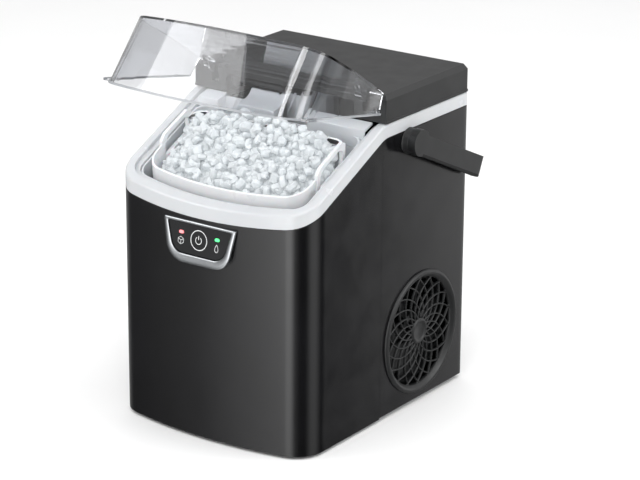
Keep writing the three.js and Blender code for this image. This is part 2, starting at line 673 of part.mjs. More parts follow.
// Seen along its pivot: round heads, straight arms and the end of the grip bar.
function handleSide() {
  const meet = (height) => THREE.MathUtils.radToDeg(Math.asin(height / HANDLE_HEAD_R));
  return polygon([
    ...arc(0, 0, HANDLE_HEAD_R, meet(HANDLE_TOP - 0.4), 360 - meet(HANDLE_LOW - 0.2), 18),
    ...arc(HANDLE_LEN - 3, -HANDLE_LOW + 3, 3, -90, 0, 2),
    ...arc(HANDLE_LEN - 2, HANDLE_TOP - 2, 2, 0, 90, 2),
  ]);
}

// Seen from above: a U with rounded corners.
function handlePlan() {
  const inner = HANDLE_X - HANDLE_T;
  const barY = HANDLE_LEN - GRIP_BAR.thick;
  const corner = 6;
  return polygon([
    [-HANDLE_X, -20], [-inner, -20], ...arc(-inner + 3, barY - 3, 3, 180, 90, 3),
    ...arc(inner - 3, barY - 3, 3, 90, 0, 3), [inner, -20], [HANDLE_X, -20],
    ...arc(HANDLE_X - corner, HANDLE_LEN - corner, corner, 0, 90, 4),
    ...arc(-HANDLE_X + corner, HANDLE_LEN - corner, corner, 90, 180, 4),
  ]);
}

function carryHandle() {
  let handle = upright(handlePlan(), -20, 20).intersect(crosswise(handleSide(), -HANDLE_X, HANDLE_X));
  const inner = HANDLE_X - HANDLE_T - 1;
  handle = handle.subtract(box(-inner, inner, 60, HANDLE_LEN + 1, -HANDLE_LOW - 5, GRIP_BAR.low));
  const edge = [HANDLE_X + 1, -HANDLE_LOW - 1];
  const cut = HANDLE_CHAMFER + 2;
  const wedge = polygon([edge, [edge[0], edge[1] + cut], [edge[0] - cut, edge[1]]]);
  const chamfer = forwards(wedge, 6, HANDLE_LEN + 5);
  handle = handle.subtract(chamfer).subtract(chamfer.mirror([1, 0, 0]));
  const bore = bar(HANDLE_BOSS.pinR + GAP, -HANDLE_X + 2, HANDLE_X - 2, 0, 0, 16);
  return handle.subtract(bore);
}

// Fixed boss that stands off the side wall and carries the arm on a stub pin.
function handleBoss(sign) {
  const base = HALF_W + GAP;
  const face = HANDLE_X - HANDLE_T - GAP;
  const profile = [
    [0, base], [HANDLE_BOSS.r + 0.8, base], [HANDLE_BOSS.r, base + 1.2], [HANDLE_BOSS.r, face - 0.6],
    [HANDLE_BOSS.r - 0.8, face], [HANDLE_BOSS.pinR, face],
    [HANDLE_BOSS.pinR, HANDLE_X - 2 - GAP], [0, HANDLE_X - 2 - GAP],
  ];
  return turned(profile, 16).rotate([0, sign * 90, 0]);
}

// ---------------------------------------------------------------- control panel

// Front view of the panel: straight top, leaning sides, large lower corners. 0 is the edge of the
// dark face and 1 the edge of the bright bezel.
function panelShape(t) {
  const drawn = 1 - t;
  const top = PANEL_TOP_Z - drawn * PANEL_RIM.top;
  const bottom = PANEL_BOTTOM_Z + drawn * PANEL_RIM.bottom;
  const topHalf = PANEL_TOP_HALF - drawn * PANEL_RIM.side;
  const sideHalf = PANEL_LOW_HALF - drawn * PANEL_RIM.low;
  const r = PANEL_CORNER_R - drawn * PANEL_RIM.corner;
  return polygon([
    ...arc(-sideHalf + r, bottom + r, r, 192, 270, 5), ...arc(sideHalf - r, bottom + r, r, -90, -12, 5),
    [topHalf, top - 1], [topHalf - 1, top], [-topHalf + 1, top], [-topHalf, top - 1],
  ]);
}

// Everything in front of the tilted panel plane, moved back by depth.
function beyondPanel(depth) {
  const slab = solid(new THREE.BoxGeometry(200, 60, 200).translate(0, -30, 0));
  return slab.rotate([-PANEL_TILT, 0, 0]).translate([0, FRONT_Y - PANEL_PROUD + depth, PANEL_TOP_Z]);
}

function panelBezel() {
  const body = upright(polygon(bodyOutline(-GAP)), 160, 230);
  const rim = forwards(panelShape(1), FRONT_Y - 15, FRONT_Y + 6).subtract(body);
  const neck = forwards(panelShape(0.35), FRONT_Y - 15, FRONT_Y + 5);
  const opening = forwards(panelShape(0), FRONT_Y - 20, FRONT_Y + 20);
  return rim.add(neck).subtract(opening).subtract(beyondPanel(0));
}

function lampShape(grow) {
  return roundedRect(-2.6 - grow, 2.6 + grow, -1.4 - grow, 1.4 + grow, 1.2, 2);
}

function panelFace() {
  let face = forwards(panelShape(-0.12), FRONT_Y - 15, FRONT_Y + 4).subtract(beyondPanel(0.9));
  face = face.subtract(forwards(ring(0, BUTTON_Z, BUTTON_R + GAP, 28), FRONT_Y - 15, FRONT_Y + 10));
  for (const [, sign] of SIDES) {
    const window = forwards(lampShape(GAP), FRONT_Y - 15, FRONT_Y + 10);
    face = face.subtract(window.translate([sign * LAMP_X, 0, LAMP_Z]));
  }
  return face;
}

function powerButton() {
  return forwards(ring(0, BUTTON_Z, BUTTON_R, 28), FRONT_Y - 15, FRONT_Y + 1.8).subtract(beyondPanel(0.5));
}

function lamp(sign) {
  const stick = forwards(lampShape(0), FRONT_Y - 15, FRONT_Y + 4).translate([sign * LAMP_X, 0, LAMP_Z]);
  return stick.subtract(beyondPanel(0.7));
}

// Small board behind the panel, with its switch and connector.
function displayBoard() {
  const y = FRONT_Y + 5 + GAP;
  const board = box(-34, 34, y, y + 1.6, 184, 214);
  const plug = box(-26, -12, y + 1.4, y + 5, 188, 195);
  const switchBody = box(-3, 3, y - 2, y + 0.2, BUTTON_Z - 3, BUTTON_Z + 3);
  return board.add(plug).add(switchBody);
}

// ---------------------------------------------------------------- fan grille and cooling

// Turn in degrees of a spiral rib at radius r.
const spiral = (r) => (GRILLE_SWEEP * (r - GRILLE_HUB_R)) / (GRILLE_OPEN_R - GRILLE_HUB_R);

// Open cells between the two crossing families of spiral ribs. Along its radius, a cell widens from
// the crossing behind it and narrows to the crossing ahead, less half a rib on each side.
function latticeCells() {
  const pitch = 360 / GRILLE_SPIRALS;
  const crossings = Math.ceil((2 * GRILLE_SWEEP) / pitch);
  const slope = rad(GRILLE_SWEEP) / (GRILLE_OPEN_R - GRILLE_HUB_R);
  const halfRib = (r) => THREE.MathUtils.radToDeg((GRILLE_RIB / 2) * Math.hypot(1 / r, slope));
  const cells = [];
  for (let j = -1; j < crossings; j += 1) {
    const near = (j * pitch) / 2;
    const far = near + pitch;
    const halfAngle = (r) => Math.min(spiral(r) - near, far - spiral(r)) - halfRib(r);
    const corner = GRILLE_HUB_R + ((near + pitch / 2) / GRILLE_SWEEP) * (GRILLE_OPEN_R - GRILLE_HUB_R);
    const low = Math.max(GRILLE_HUB_R, edgeRadius(halfAngle, corner, -1));
    const high = Math.min(GRILLE_OPEN_R, edgeRadius(halfAngle, corner, 1));
    const radii = [...new Set([low, Math.min(Math.max(corner, low), high), high])];
    if (high - low < MIN_CELL) continue;
    for (let k = 0; k < GRILLE_SPIRALS; k += 1) {
      cells.push(cellOutline(radii, halfAngle, (k + (j % 2 === 0 ? 0 : 0.5)) * pitch));
    }
  }
  return cells;
}

// Radius at which a cell closes to a point, found by halving, inwards or outwards of its corner.
function edgeRadius(halfAngle, corner, direction) {
  let open = corner;
  let shut = corner + direction * 20;
  for (let i = 0; i < 30; i += 1) {
    const middle = (open + shut) / 2;
    if (halfAngle(middle) > 0) open = middle;
    else shut = middle;
  }
  return open;
}

function cellOutline(radii, halfAngle, centre) {
  const at = (r, side) => {
    const a = rad(centre + side * halfAngle(r));
    return new THREE.Vector2(r * Math.cos(a), r * Math.sin(a));
  };
  const forward = radii.map((r) => at(r, -1));
  const back = [...radii].reverse().map((r) => at(r, 1));
  const all = [...forward, ...back];
  return all.filter((p, i) => p.distanceTo(all[(i + 1) % all.length]) > 0.05);
}

// Round fan guard: raised rounded ring, lattice of crossing spirals and a dished hub.
function fanGrille() {
  const disk = ring(0, 0, GRILLE_OPEN_R + 1.5, 40);
  disk.holes = latticeCells().map((cell) => new THREE.Path(cell));
  const lattice = upright(disk, -3.4, -3.4 + GRILLE_PLATE);
  const rim = turned([
    [GRILLE_OPEN_R - 0.5, -3.4], [GRILLE_R - 4.3, -3.4], [GRILLE_R - 4.3, GAP], [GRILLE_R, GAP],
    [GRILLE_R - 0.8, 2.2], [GRILLE_R - 3, 3.3], [GRILLE_OPEN_R, -0.4],
  ], 40);
  const hub = turned([
    [0, -3.4], [GRILLE_HUB_R + 0.4, -3.4], [GRILLE_HUB_R - 0.5, -0.6], [10.4, 0.2], [9.4, -0.9], [0, -1.6],
  ], 24);
  return lattice.add(rim).add(hub);
}

// Plate with a short round duct, standing on the base pan. Three stays carry the motor seat in its
// middle.
function fanShroud() {
  const frame = roundedRect(-54, GRILLE_Z - SEAT_Z, -53, 53, 6);
  let shroud = upright(frame, 0, 2.5).subtract(disc(51.5, -5, 10, 28));
  shroud = shroud.add(turned([[51.5, 0], [54, 0], [53.5, 17], [51.5, 17]], 28));
  shroud = shroud.add(turned([[9, 0], [17, 0], [17, 2.5], [9, 2.5]], 16));
  for (let i = 0; i < 3; i += 1) {
    shroud = shroud.add(box(15, 52.5, -3, 3, 0, 2.5).rotate([0, 0, 90 + i * 120]));
  }
  return shroud;
}

function fanMotor() {
  return turned([[0, -18], [15, -18], [16.5, -16], [16.5, -0.3], [8.4, -0.3], [8.4, 2], [0, 2]], 20);
}

// Hub and seven twisted blades on a short shaft.
function fanRotor() {
  let rotor = turned([
    [0, 2.4], [2.4, 2.4], [2.4, 5.5], [15, 5.5], [16, 7], [16, 17], [13, 19], [0, 19],
  ], 16);
  for (let i = 0; i < 7; i += 1) {
    rotor = rotor.add(fanBlade().rotate([0, 0, (i * 360) / 7]));
  }
  return rotor;
}

function fanBlade() {
  const section = (r, spread, rise) => {
    const point = (side, z) => {
      const a = rad(side * spread);
      return new THREE.Vector3(r * Math.cos(a), r * Math.sin(a), z);
    };
    return [point(-1, 12 - rise), point(1, 12 + rise), point(1, 13.4 + rise), point(-1, 13.4 - rise)];
  };
  return loft([section(14.5, 17, 5), section(32, 19, 4.4), section(49.5, 15, 3)], true);
}

// Finned heat exchanger: parallel fins on a common core.
function condenser() {
  const points = [];
  const fins = 16;
  const pitch = 6;
  for (let i = 0; i < fins; i += 1) {
    const y = i * pitch;
    points.push([24, y], [24, y + 1.6]);
    if (i < fins - 1) points.push([9, y + 1.6], [9, y + pitch]);
  }
  const length = (fins - 1) * pitch + 1.6;
  return upright(polygon([[0, 0], ...points, [0, length]]), 0, 118);
}

// Hermetic compressor: drawn steel can with a seam flange, a foot ring and a terminal box.
function compressor() {
  const can = turned([
    [0, 0], [44, 0], [44, 3], [36, 3], [39, 12], [39.5, 52], [41.5, 52], [41.5, 56], [39.5, 56], [38.5, 84],
    [33, 97], [20, 105], [0, 107],
  ], 20);
  return can.add(box(28, 46, -12, 12, 62, 82));
}

// ---------------------------------------------------------------- ice-making column

function augerBarrel() {
  return turned([
    [BARREL_BORE_R, BARREL_Z], [BARREL_R + 5, BARREL_Z],
    [BARREL_R + 5, BARREL_Z + 5], [BARREL_R, BARREL_Z + 5],
    [BARREL_R, BARREL_TOP_Z - 5], [BARREL_R + 4, BARREL_TOP_Z - 5], [BARREL_R + 4, BARREL_TOP_Z],
    [BARREL_BORE_R, BARREL_TOP_Z],
  ], 16);
}

// Refrigerant coil wound tightly round the barrel, as a stack of rounded turns.
function evaporatorCoil() {
  const profile = [[BARREL_R + GAP, COIL_Z]];
  for (let i = 0; i < COIL_TURNS; i += 1) {
    const z = COIL_Z + i * COIL_PITCH;
    profile.push([BARREL_R + 3, z], [BARREL_R + 7, z + COIL_PITCH / 2]);
  }
  const top = COIL_Z + COIL_TURNS * COIL_PITCH;
  profile.push([BARREL_R + 3, top], [BARREL_R + GAP, top]);
  return turned(profile, 16);
}

// Screw that scrapes the ice off the cold barrel and lifts it to the outlet.
function iceAuger() {
  const core = turned([[0, 58], [5, 58], [5, 74], [9, 78], [9, 262], [6, 268], [6, 296], [0, 296]], 10);
  const turns = 3;
  const stepsPerTurn = 12;
  const rings = [];
  for (let i = 0; i <= turns * stepsPerTurn; i += 1) {
    const a = ((i + 0.3) / stepsPerTurn) * 2 * Math.PI;
    const z = 82 + (i / (turns * stepsPerTurn)) * 164;
    const point = (r, dz) => new THREE.Vector3(r * Math.cos(a), r * Math.sin(a), z + dz);
    rings.push([point(5, 3), point(BARREL_BORE_R - 0.6, 1), point(BARREL_BORE_R - 0.6, -1), point(5, -3)]);
  }
  return core.add(loft(rings, true));
}

// Gear motor that turns the screw: gearbox under the barrel with the motor can beside it.
function gearMotor() {
  const gearbox = upright(roundedRect(-27, 27, -25, 24, 8), SEAT_Z, 62);
  const neck = disc(24, 60, BARREL_Z - GAP, 28);
  return gearbox.add(neck).subtract(disc(5.5, 55, 80, 16));
}

// Head that turns the rising ice towards the chute.
function iceOutlet() {
  const head = turned([
    [10, BARREL_TOP_Z + GAP], [BARREL_R + 3, BARREL_TOP_Z + GAP],
    [BARREL_R + 3, BARREL_TOP_Z + 5], [BARREL_R - 2, BARREL_TOP_Z + 7],
    [BARREL_R - 2, 318], [0, 318], [0, 316], [BARREL_R - 4.5, 316], [BARREL_R - 4.5, 280], [10, 276],
  ], 16);
  return head.subtract(box(-18, 18, -40, -10, 305, 315));
}

// ---------------------------------------------------------------- water circuit and electrics

function waterPump() {
  const body = turned([[0, SEAT_Z], [24, SEAT_Z], [24, 32], [18, 32], [18, 62], [15, 65], [0, 65]], 16);
  const spigot = bar(5, 20, 34, 0, 24, 12);
  return body.add(spigot);
}

// Mains and control board on four standoffs, with its transformer, relay and capacitors.
function powerBoard() {
  let board = box(0, 1.6, 0, 88, 0, 78);
  board = board.add(box(1.4, 24, 8, 38, 10, 40));
  board = board.add(box(1.4, 16, 58, 76, 8, 24));
  for (let i = 0; i < 3; i += 1) {
    board = board.add(bar(6, 1.4, 20, 50 + i * 14, 52, 12));
  }
  for (const [y, z] of [[5, 5], [83, 5], [5, 73], [83, 73]]) {
    board = board.add(bar(2.5, -3, 0.2, y, z, 8));
  }
  return board;
}

// Panel-mounted mains inlet: flanged socket with three blades in its recess.
function powerInlet() {
  const { halfW, halfH } = INLET;
  const flange = forwards(roundedRect(-halfW - 3, halfW + 3, -halfH - 3, halfH + 3, 4), GAP, 2.4);
  const shell = forwards(roundedRect(-halfW, halfW, -halfH, halfH, 3), -22, 1);
  const recess = polygon([[-12, -8.3], [12, -8.3], [12, 3.5], [8, 8.3], [-8, 8.3], [-12, 3.5]]);
  let inlet = flange.add(shell).subtract(forwards(recess, -18, 5));
  for (const [x, z] of [[-7, -2], [0, 2.4], [7, -2]]) {
    inlet = inlet.add(box(x - 1, x + 1, -19, -2.5, z - 2, z + 2));
  }
  return inlet;
}

// Rubber bung in the drain outlet.
function drainPlug() {
  return turned([
    [0, -12], [4.8, -12], [DRAIN.r - GAP, -9], [DRAIN.r - GAP, GAP],
    [9, GAP], [9, 2.8], [7.8, 4.2], [0, 4.2],
  ], 14);
}

// ---------------------------------------------------------------- the assembly

const at = (mesh, x, y, z) => mesh.position.set(x, y, z);

place('front_shell', 'housing', frontShell());
place('rear_shell', 'housing', rearShell());
place('base_pan', 'blackMatt', basePan());
for (const [end, y] of [['front', FEET.frontY], ['rear', FEET.rearY]]) {
  for (const [side, sign] of SIDES) {
    at(place(`foot_${end}_${side}`, 'rubber', foot()), sign * FEET.x, y, 0);
  }
}
place('top_frame', 'whiteTrim', topFrame());
place('basin_liner', 'whiteInner', basinLiner());
place('rear_deck', 'whiteInner', rearDeck());
place('ice_chute', 'whiteInner', iceChute());
place('top_cap', 'blackMatt', topCap());
place('ice_basket', 'whiteTrim', iceBasket());

const lidSwing = new THREE.Group();
lidSwing.position.set(0, LID_PIVOT_Y, LID_PIVOT_Z);
lidSwing.rotation.x = -rad(LID_OPEN);
machine.add(lidSwing);
at(place('lid', 'clear', lidBody(), lidSwing), 0, -LID_PIVOT_Y, -LID_PIVOT_Z);
for (const [side, sign] of SIDES) {
  const centre = sign * (EAR_X + EAR_T / 2);
  place(`hinge_pin_${side}`, 'steel', bar(PIN_R, centre - 6.8, centre + 6.8, LID_PIVOT_Y, LID_PIVOT_Z, 12));
  const boss = place(`handle_boss_${side}`, 'blackMatt', handleBoss(sign));
  at(boss, 0, HANDLE_Y, HANDLE_Z);
}
at(place('level_lever', 'blackMatt', levelLever()), LEVER.x, LEVER.y, 0);

const handleSwing = new THREE.Group();
handleSwing.position.set(0, HANDLE_Y, HANDLE_Z);
handleSwing.rotation.x = -rad(HANDLE_DROP);
machine.add(handleSwing);
place('carry_handle', 'blackMatt', carryHandle(), handleSwing);

place('panel_bezel', 'chrome', panelBezel());
place('panel_face', 'glossBlack', panelFace());
place('power_button', 'glossBlack', powerButton());
place('lamp_ice_full', 'redLens', lamp(-1));
place('lamp_add_water', 'greenLens', lamp(1));
place('display_board', 'circuitGreen', displayBoard());

const coolingX = new THREE.Group();
coolingX.position.set(0, GRILLE_Y, GRILLE_Z);
coolingX.rotation.y = Math.PI / 2;
machine.add(coolingX);
at(place('fan_grille', 'blackMatt', fanGrille(), coolingX), 0, 0, HALF_W);
at(place('fan_shroud', 'blackMatt', fanShroud(), coolingX), 0, 0, SHROUD_X);
at(place('fan_motor', 'steel', fanMotor(), coolingX), 0, 0, SHROUD_X);
at(place('fan_rotor', 'blackMatt', fanRotor(), coolingX), 0, 0, SHROUD_X);
at(place('condenser', 'aluminium', condenser()), 40, 24, SEAT_Z);
at(place('compressor', 'paintedSteel', compressor()), -62, 94, SEAT_Z);

for (const [name, finish, body] of [
  ['auger_barrel', 'steel', augerBarrel()],
  ['evaporator_coil', 'copper', evaporatorCoil()],
  ['ice_auger', 'steel', iceAuger()],
  ['gear_motor', 'paintedSteel', gearMotor()],
  ['ice_outlet', 'whiteInner', iceOutlet()],
]) {
  at(place(name, finish, body), 0, AUGER_Y, 0);
}

at(place('water_pump', 'blackMatt', waterPump()), PUMP.x, PUMP.y, 0);
at(place('power_board', 'circuitGreen', powerBoard()), -106, 34, 168);
at(place('power_inlet', 'blackMatt', powerInlet()), INLET.x, REAR_Y, INLET.z);
const plug = place('drain_plug', 'rubber', drainPlug());
plug.rotation.x = -Math.PI / 2;
at(plug, DRAIN.x, REAR_Y, DRAIN.z);

place('pump_hose', 'silicone', tube([[PUMP.x, PUMP.y, 91.6], [PUMP.x, PUMP.y, 65.4]], 4, 8, 1));
place('feed_hose', 'silicone', tube([
  [-15.6, PUMP.y, 24], [-8, PUMP.y, 24], [2, -64, 24], [4, -30, 30], [0, -8, 60], [0, 2, 84], [0, 11, 85],
], 4, 8, 16));
place('suction_line', 'copper', tube([
  [-31.4, 58.2, 152], [-46, 68, 150], [-60, 88, 134], [-62, 94, 114],
], 3, 8, 12));

export default machine;
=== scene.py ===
"""Countertop nugget ice maker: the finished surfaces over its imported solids.

Metres, +Z up, control panel towards -Y, fan grille on +X, lid standing open.
"""
import json
import math

import bmesh
import bpy
import numpy as np
from mathutils import Matrix, Vector

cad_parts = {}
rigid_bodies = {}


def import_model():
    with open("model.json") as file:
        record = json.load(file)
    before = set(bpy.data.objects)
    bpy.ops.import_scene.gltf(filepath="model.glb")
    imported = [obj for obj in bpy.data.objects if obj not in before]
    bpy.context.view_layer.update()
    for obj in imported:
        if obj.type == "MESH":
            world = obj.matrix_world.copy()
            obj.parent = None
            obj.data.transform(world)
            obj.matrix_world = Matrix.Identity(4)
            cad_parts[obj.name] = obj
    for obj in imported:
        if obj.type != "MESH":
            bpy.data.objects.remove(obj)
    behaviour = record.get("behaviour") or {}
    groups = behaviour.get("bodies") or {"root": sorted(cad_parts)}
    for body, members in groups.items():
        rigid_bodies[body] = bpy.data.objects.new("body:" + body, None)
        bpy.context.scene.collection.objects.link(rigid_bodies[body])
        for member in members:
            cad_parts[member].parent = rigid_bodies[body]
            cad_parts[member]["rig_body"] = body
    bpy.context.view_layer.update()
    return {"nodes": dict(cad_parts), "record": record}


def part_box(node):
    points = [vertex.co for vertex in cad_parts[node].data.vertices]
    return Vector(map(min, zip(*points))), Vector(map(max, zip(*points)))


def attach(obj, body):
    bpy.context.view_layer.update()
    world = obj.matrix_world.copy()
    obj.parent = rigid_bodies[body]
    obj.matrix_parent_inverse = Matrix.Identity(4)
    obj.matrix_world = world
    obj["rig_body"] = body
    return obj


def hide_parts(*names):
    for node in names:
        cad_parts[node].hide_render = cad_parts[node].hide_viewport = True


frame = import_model()

# ---- Housing ---------------------------------------------------------------------------------
# The front wrap and the rear shell are formed from one thin wall, painted satin black, and meet
# in a fine seam on each side. Vents, the fan opening and holes for the inlet and the drain are cut
# through the rear shell, and the panel's opening through the front.

MM = 0.001


def linear(code):
    """Linear colour of an sRGB hex code: the power curve is undone for each channel."""
    s = np.array([int(code[i:i + 2], 16) for i in (1, 3, 5)]) / 255
    return (*np.where(s <= 0.04045, s / 12.92, ((s + 0.055) / 1.055) ** 2.4).tolist(), 1.0)


def add(owner, kind, sockets=(), **settings):
    """A new node of a material or the world: its settings are set, and each named socket gets a
    value or a link."""
    node = owner.node_tree.nodes.new(kind)
    for name, value in settings.items():
        setattr(node, name, value)
    for name, value in dict(sockets).items():
        if isinstance(value, bpy.types.NodeSocket):
            owner.node_tree.links.new(value, node.inputs[name])
        else:
            node.inputs[name].default_value = value
    return node


def blank(name):
    """A material with an empty node tree."""
    material = bpy.data.materials.new(name)
    material.use_nodes = True
    material.node_tree.nodes.clear()
    return material


def per_mm(size):
    """Texture scale that gives features of this size in millimetres."""
    return 1 / (size * MM)


def varied(material, size, low, high):
    """A value that drifts between low and high over patches of this size in millimetres."""
    place = add(material, "ShaderNodeTexCoord").outputs["Object"]
    noise = add(material, "ShaderNodeTexNoise",
                {"Vector": place, "Scale": per_mm(size), "Detail": 3.0})
    return add(material, "ShaderNodeMapRange",
               {"Value": noise.outputs["Fac"], "From Min": 0.3, "From Max": 0.7,
                "To Min": low, "To Max": high}).outputs["Result"]


def grain(material, size, strength, distance):
    """Bump of fine grains of this size in millimetres; the distance is their height."""
    place = add(material, "ShaderNodeTexCoord").outputs["Object"]
    noise = add(material, "ShaderNodeTexNoise",
                {"Vector": place, "Scale": per_mm(size), "Detail": 2.0})
    return add(material, "ShaderNodeBump",
               {"Height": noise.outputs["Fac"], "Strength": strength,
                "Distance": distance * MM}).outputs["Normal"]


def tinted(material, size, first, second):
    """A colour that drifts between two near shades over patches of this size."""
    return add(material, "ShaderNodeMix",
               {"Factor": varied(material, size, 0.0, 1.0),
                6: linear(first), 7: linear(second)}, data_type="RGBA").outputs[2]


def surfaced(material, sockets):
    """Ends the material with its surface shader."""
    shader = add(material, "ShaderNodeBsdfPrincipled", sockets)
    add(material, "ShaderNodeOutputMaterial", {"Surface": shader.outputs[0]})


# Baked satin paint on sheet: deep black, a soft highlight and a faint orange-peel ripple.
satin_black_paint = blank("satin_black_paint")
surfaced(satin_black_paint, {
    "Base Color": tinted(satin_black_paint, 60, "#0d0d0e", "#111113"),
    "Roughness": varied(satin_black_paint, 25, 0.15, 0.2),
    "Normal": grain(satin_black_paint, 1.4, 0.04, 0.02),
    "IOR": 1.5,
})


def arc(cx, cy, r, start, end, steps):
    """Points at equal angles, in degrees, along a circle about (cx, cy)."""
    a = np.radians(np.linspace(start, end, steps + 1))
    return np.column_stack([cx + r * np.cos(a), cy + r * np.sin(a)])


HALF_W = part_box("rear_shell")[1].x
FRONT_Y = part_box("front_shell")[0].y
BOW = 15.6 * MM
BOW_R = (HALF_W ** 2 + BOW ** 2) / (2 * BOW)
BOW_Y = FRONT_Y + BOW_R
FRONT_CORNER_R = 29.6 * MM


def front_half(inset):
    """Right half of the front, moved in by the inset: the bow, then the corner that touches it."""
    side = HALF_W - inset
    r = max(FRONT_CORNER_R - inset, 4 * MM)
    cx = side - r
    cy = BOW_Y - math.sqrt((BOW_R - inset - r) ** 2 - cx ** 2)
    turn = math.degrees(math.atan2(cy - BOW_Y, cx))
    bow = arc(0, BOW_Y, BOW_R - inset, -90, turn, 20)
    return np.vstack([bow, arc(cx, cy, r, turn, 0, 16)[1:]])


def side_line(inset, start, end, steps):
    """Straight stretch of the right side between two depths."""
    return np.column_stack([np.full(steps + 1, HALF_W - inset), np.linspace(start, end, steps + 1)])


REAR_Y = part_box("rear_shell")[1].y
REAR_CORNER_R = 4 * MM


def rear_half(inset):
    """Right rear corner and the rear as far as its middle."""
    r = max(REAR_CORNER_R - inset, 0.6 * MM)
    side = HALF_W - inset
    back = REAR_Y - inset
    rear = np.column_stack([np.linspace(side - r, 0, 9)[1:], np.full(8, back)])
    return np.vstack([arc(side - r, back - r, r, 0, 90, 8), rear])


SEAM_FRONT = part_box("front_shell")[1].y
SEAM_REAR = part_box("rear_shell")[0].y


def front_curve(inset):
    """Plan line of the front wrap, from the left seam round the front to the right seam."""
    front = front_half(inset)
    right = np.vstack([front, side_line(inset, front[-1, 1], SEAM_FRONT, 30)[1:]])
    return np.vstack([(right * (-1, 1))[:0:-1], right])


def rear_curve(inset):
    """Plan line of the rear shell, from the right seam round the rear to the left seam."""
    rear = rear_half(inset)
    right = np.vstack([side_line(inset, SEAM_REAR, rear[0, 1], 40)[:-1], rear])
    return np.vstack([right, (right * (-1, 1))[-2::-1]])


RIM_SLOPE = 0.471
RIM_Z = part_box("top_frame")[0].z - RIM_SLOPE * FRONT_Y      # rim line at y = 0
RIM_LEVEL_Z = 284 * MM
RIM_BLEND = 7 * MM


def rim_height(y):
    """Lower edge of the white rim: a straight slope that eases into the level by a parabola."""
    meet = (RIM_LEVEL_Z - RIM_Z) / RIM_SLOPE
    into = np.clip(y - (meet - RIM_BLEND), 0, 2 * RIM_BLEND)
    sloped = RIM_Z + RIM_SLOPE * y - RIM_SLOPE * into ** 2 / (4 * RIM_BLEND)
    return np.where(y >= meet + RIM_BLEND, RIM_LEVEL_Z, sloped)


def eased(section, steps=4):
    """Section of (inset, lift, follows the rim, radius) corners: each corner becomes a parabola
    between the points that lie its radius away along its two sides."""
    smooth = []
    for k, (inset, lift, follows, radius) in enumerate(section):
        corner = np.array([inset, lift])
        ways = []
        for other in (section[k - 1], section[(k + 1) % len(section)]):
            way = np.array([other[0] - inset, other[1] - lift])
            if other[2] != follows:
                way = np.array([0.0, -1.0 if follows else 1.0])
            length = np.linalg.norm(way)
            ways.append(way / length * min(radius, length / 2))
        for t in np.linspace(0, 1, steps + 1):
            point = corner + (1 - t) ** 2 * ways[0] + t ** 2 * ways[1]
            smooth.append((point[0], point[1], follows))
    return smooth


def carried(section, curve):
    """Grid of points: one row for each section corner, carried along the plan curve. The height
    is the lift, added to the rim line where the corner follows the rim."""
    rows = []
    for inset, lift, follows in section:
        plan = curve(inset)
        rows.append(np.column_stack([plan, lift + follows * rim_height(plan[:, 1])]))
    return np.stack(rows)


def skin(rows, columns, close_rows=False, close_columns=False):
    """Four-cornered faces of a grid; a closed way joins its last line to its first."""
    r, c = np.meshgrid(np.arange(rows - (not close_rows)), np.arange(columns - (not close_columns)),
                       indexing="ij")
    down, across = (r + 1) % rows, (c + 1) % columns
    corners = [r * columns + c, r * columns + across, down * columns + across, down * columns + c]
    return np.stack(corners, -1).reshape(-1, 4)


def smoothed(piece, sharp=35):
    """Smooth shading, with edges sharper than the angle kept crisp."""
    piece.data.polygons.foreach_set("use_smooth", np.ones(len(piece.data.polygons), bool))
    piece.data.set_sharp_from_angle(angle=math.radians(sharp))


def made(name, vertices, faces, finish, sharp=35):
    """Mesh object from arrays: doubles merged, faces outwards, smooth except at sharp edges."""
    mesh = bpy.data.meshes.new(name)
    mesh.from_pydata(np.asarray(vertices).reshape(-1, 3).tolist(), [], [list(f) for f in faces])
    solid = bmesh.new()
    solid.from_mesh(mesh)
    bmesh.ops.remove_doubles(solid, verts=solid.verts, dist=1e-6)
    bmesh.ops.recalc_face_normals(solid, faces=solid.faces)
    solid.to_mesh(mesh)
    solid.free()
    mesh.materials.append(finish)
    piece = bpy.data.objects.new(name, mesh)
    bpy.context.scene.collection.objects.link(piece)
    smoothed(piece, sharp)
    return piece


def fitted(piece, body, slot, *nodes):
    """The piece rides on its body and stands for the CAD nodes, which are hidden. The slot is not
    used.
    """
    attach(piece, body)
    if nodes:
        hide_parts(*nodes)
    return piece


def prism(outline, axis, low, high):
    """Solid between two depths along x or y whose section is the closed outline."""
    flat = [np.insert(outline, 0 if axis == "x" else 1, depth, axis=1) for depth in (low, high)]
    count = len(outline)
    faces = [*skin(2, count, close_columns=True).tolist(), list(range(count)),
             list(range(count, 2 * count))]
    return made("cutter", np.stack(flat), faces, satin_black_paint)


def without(piece, cutters):
    """Takes each cutter's space out of the piece, for good."""
    for cutter in cutters:
        cut = piece.modifiers.new("cut", "BOOLEAN")
        cut.object = cutter
        cut.operation = "DIFFERENCE"
        cut.solver = "EXACT"
    bpy.context.view_layer.update()
    shape = bpy.data.meshes.new_from_object(
        piece.evaluated_get(bpy.context.evaluated_depsgraph_get()))
    piece.modifiers.clear()
    piece.data = shape
    for cutter in cutters:
        bpy.data.objects.remove(cutter)
    smoothed(piece)


def flat_kept(piece):
    """Shading that keeps large flat faces flat beside their rounded edges."""
    piece.modifiers.new("flat", "WEIGHTED_NORMAL").keep_sharp = True
    return piece


WALL = 2.2 * MM
GAP = 0.3 * MM


def wrap(name, curve, bottom):
    """Thin wall carried along a plan line that is open at its ends, with both ends closed."""
    section = eased([(0, bottom, 0, 0.6 * MM), (0, -GAP, 1, 0.5 * MM), (WALL, -GAP, 1, 0.3 * MM),
                     (WALL, bottom, 0, 0.3 * MM)])
    grid = carried(section, curve)
    rows, columns = grid.shape[:2]
    ends = [[r * columns for r in range(rows)], [r * columns + columns - 1 for r in range(rows)]]
    return made(name, grid, [*skin(rows, columns, close_rows=True).tolist(), *ends],
                satin_black_paint)


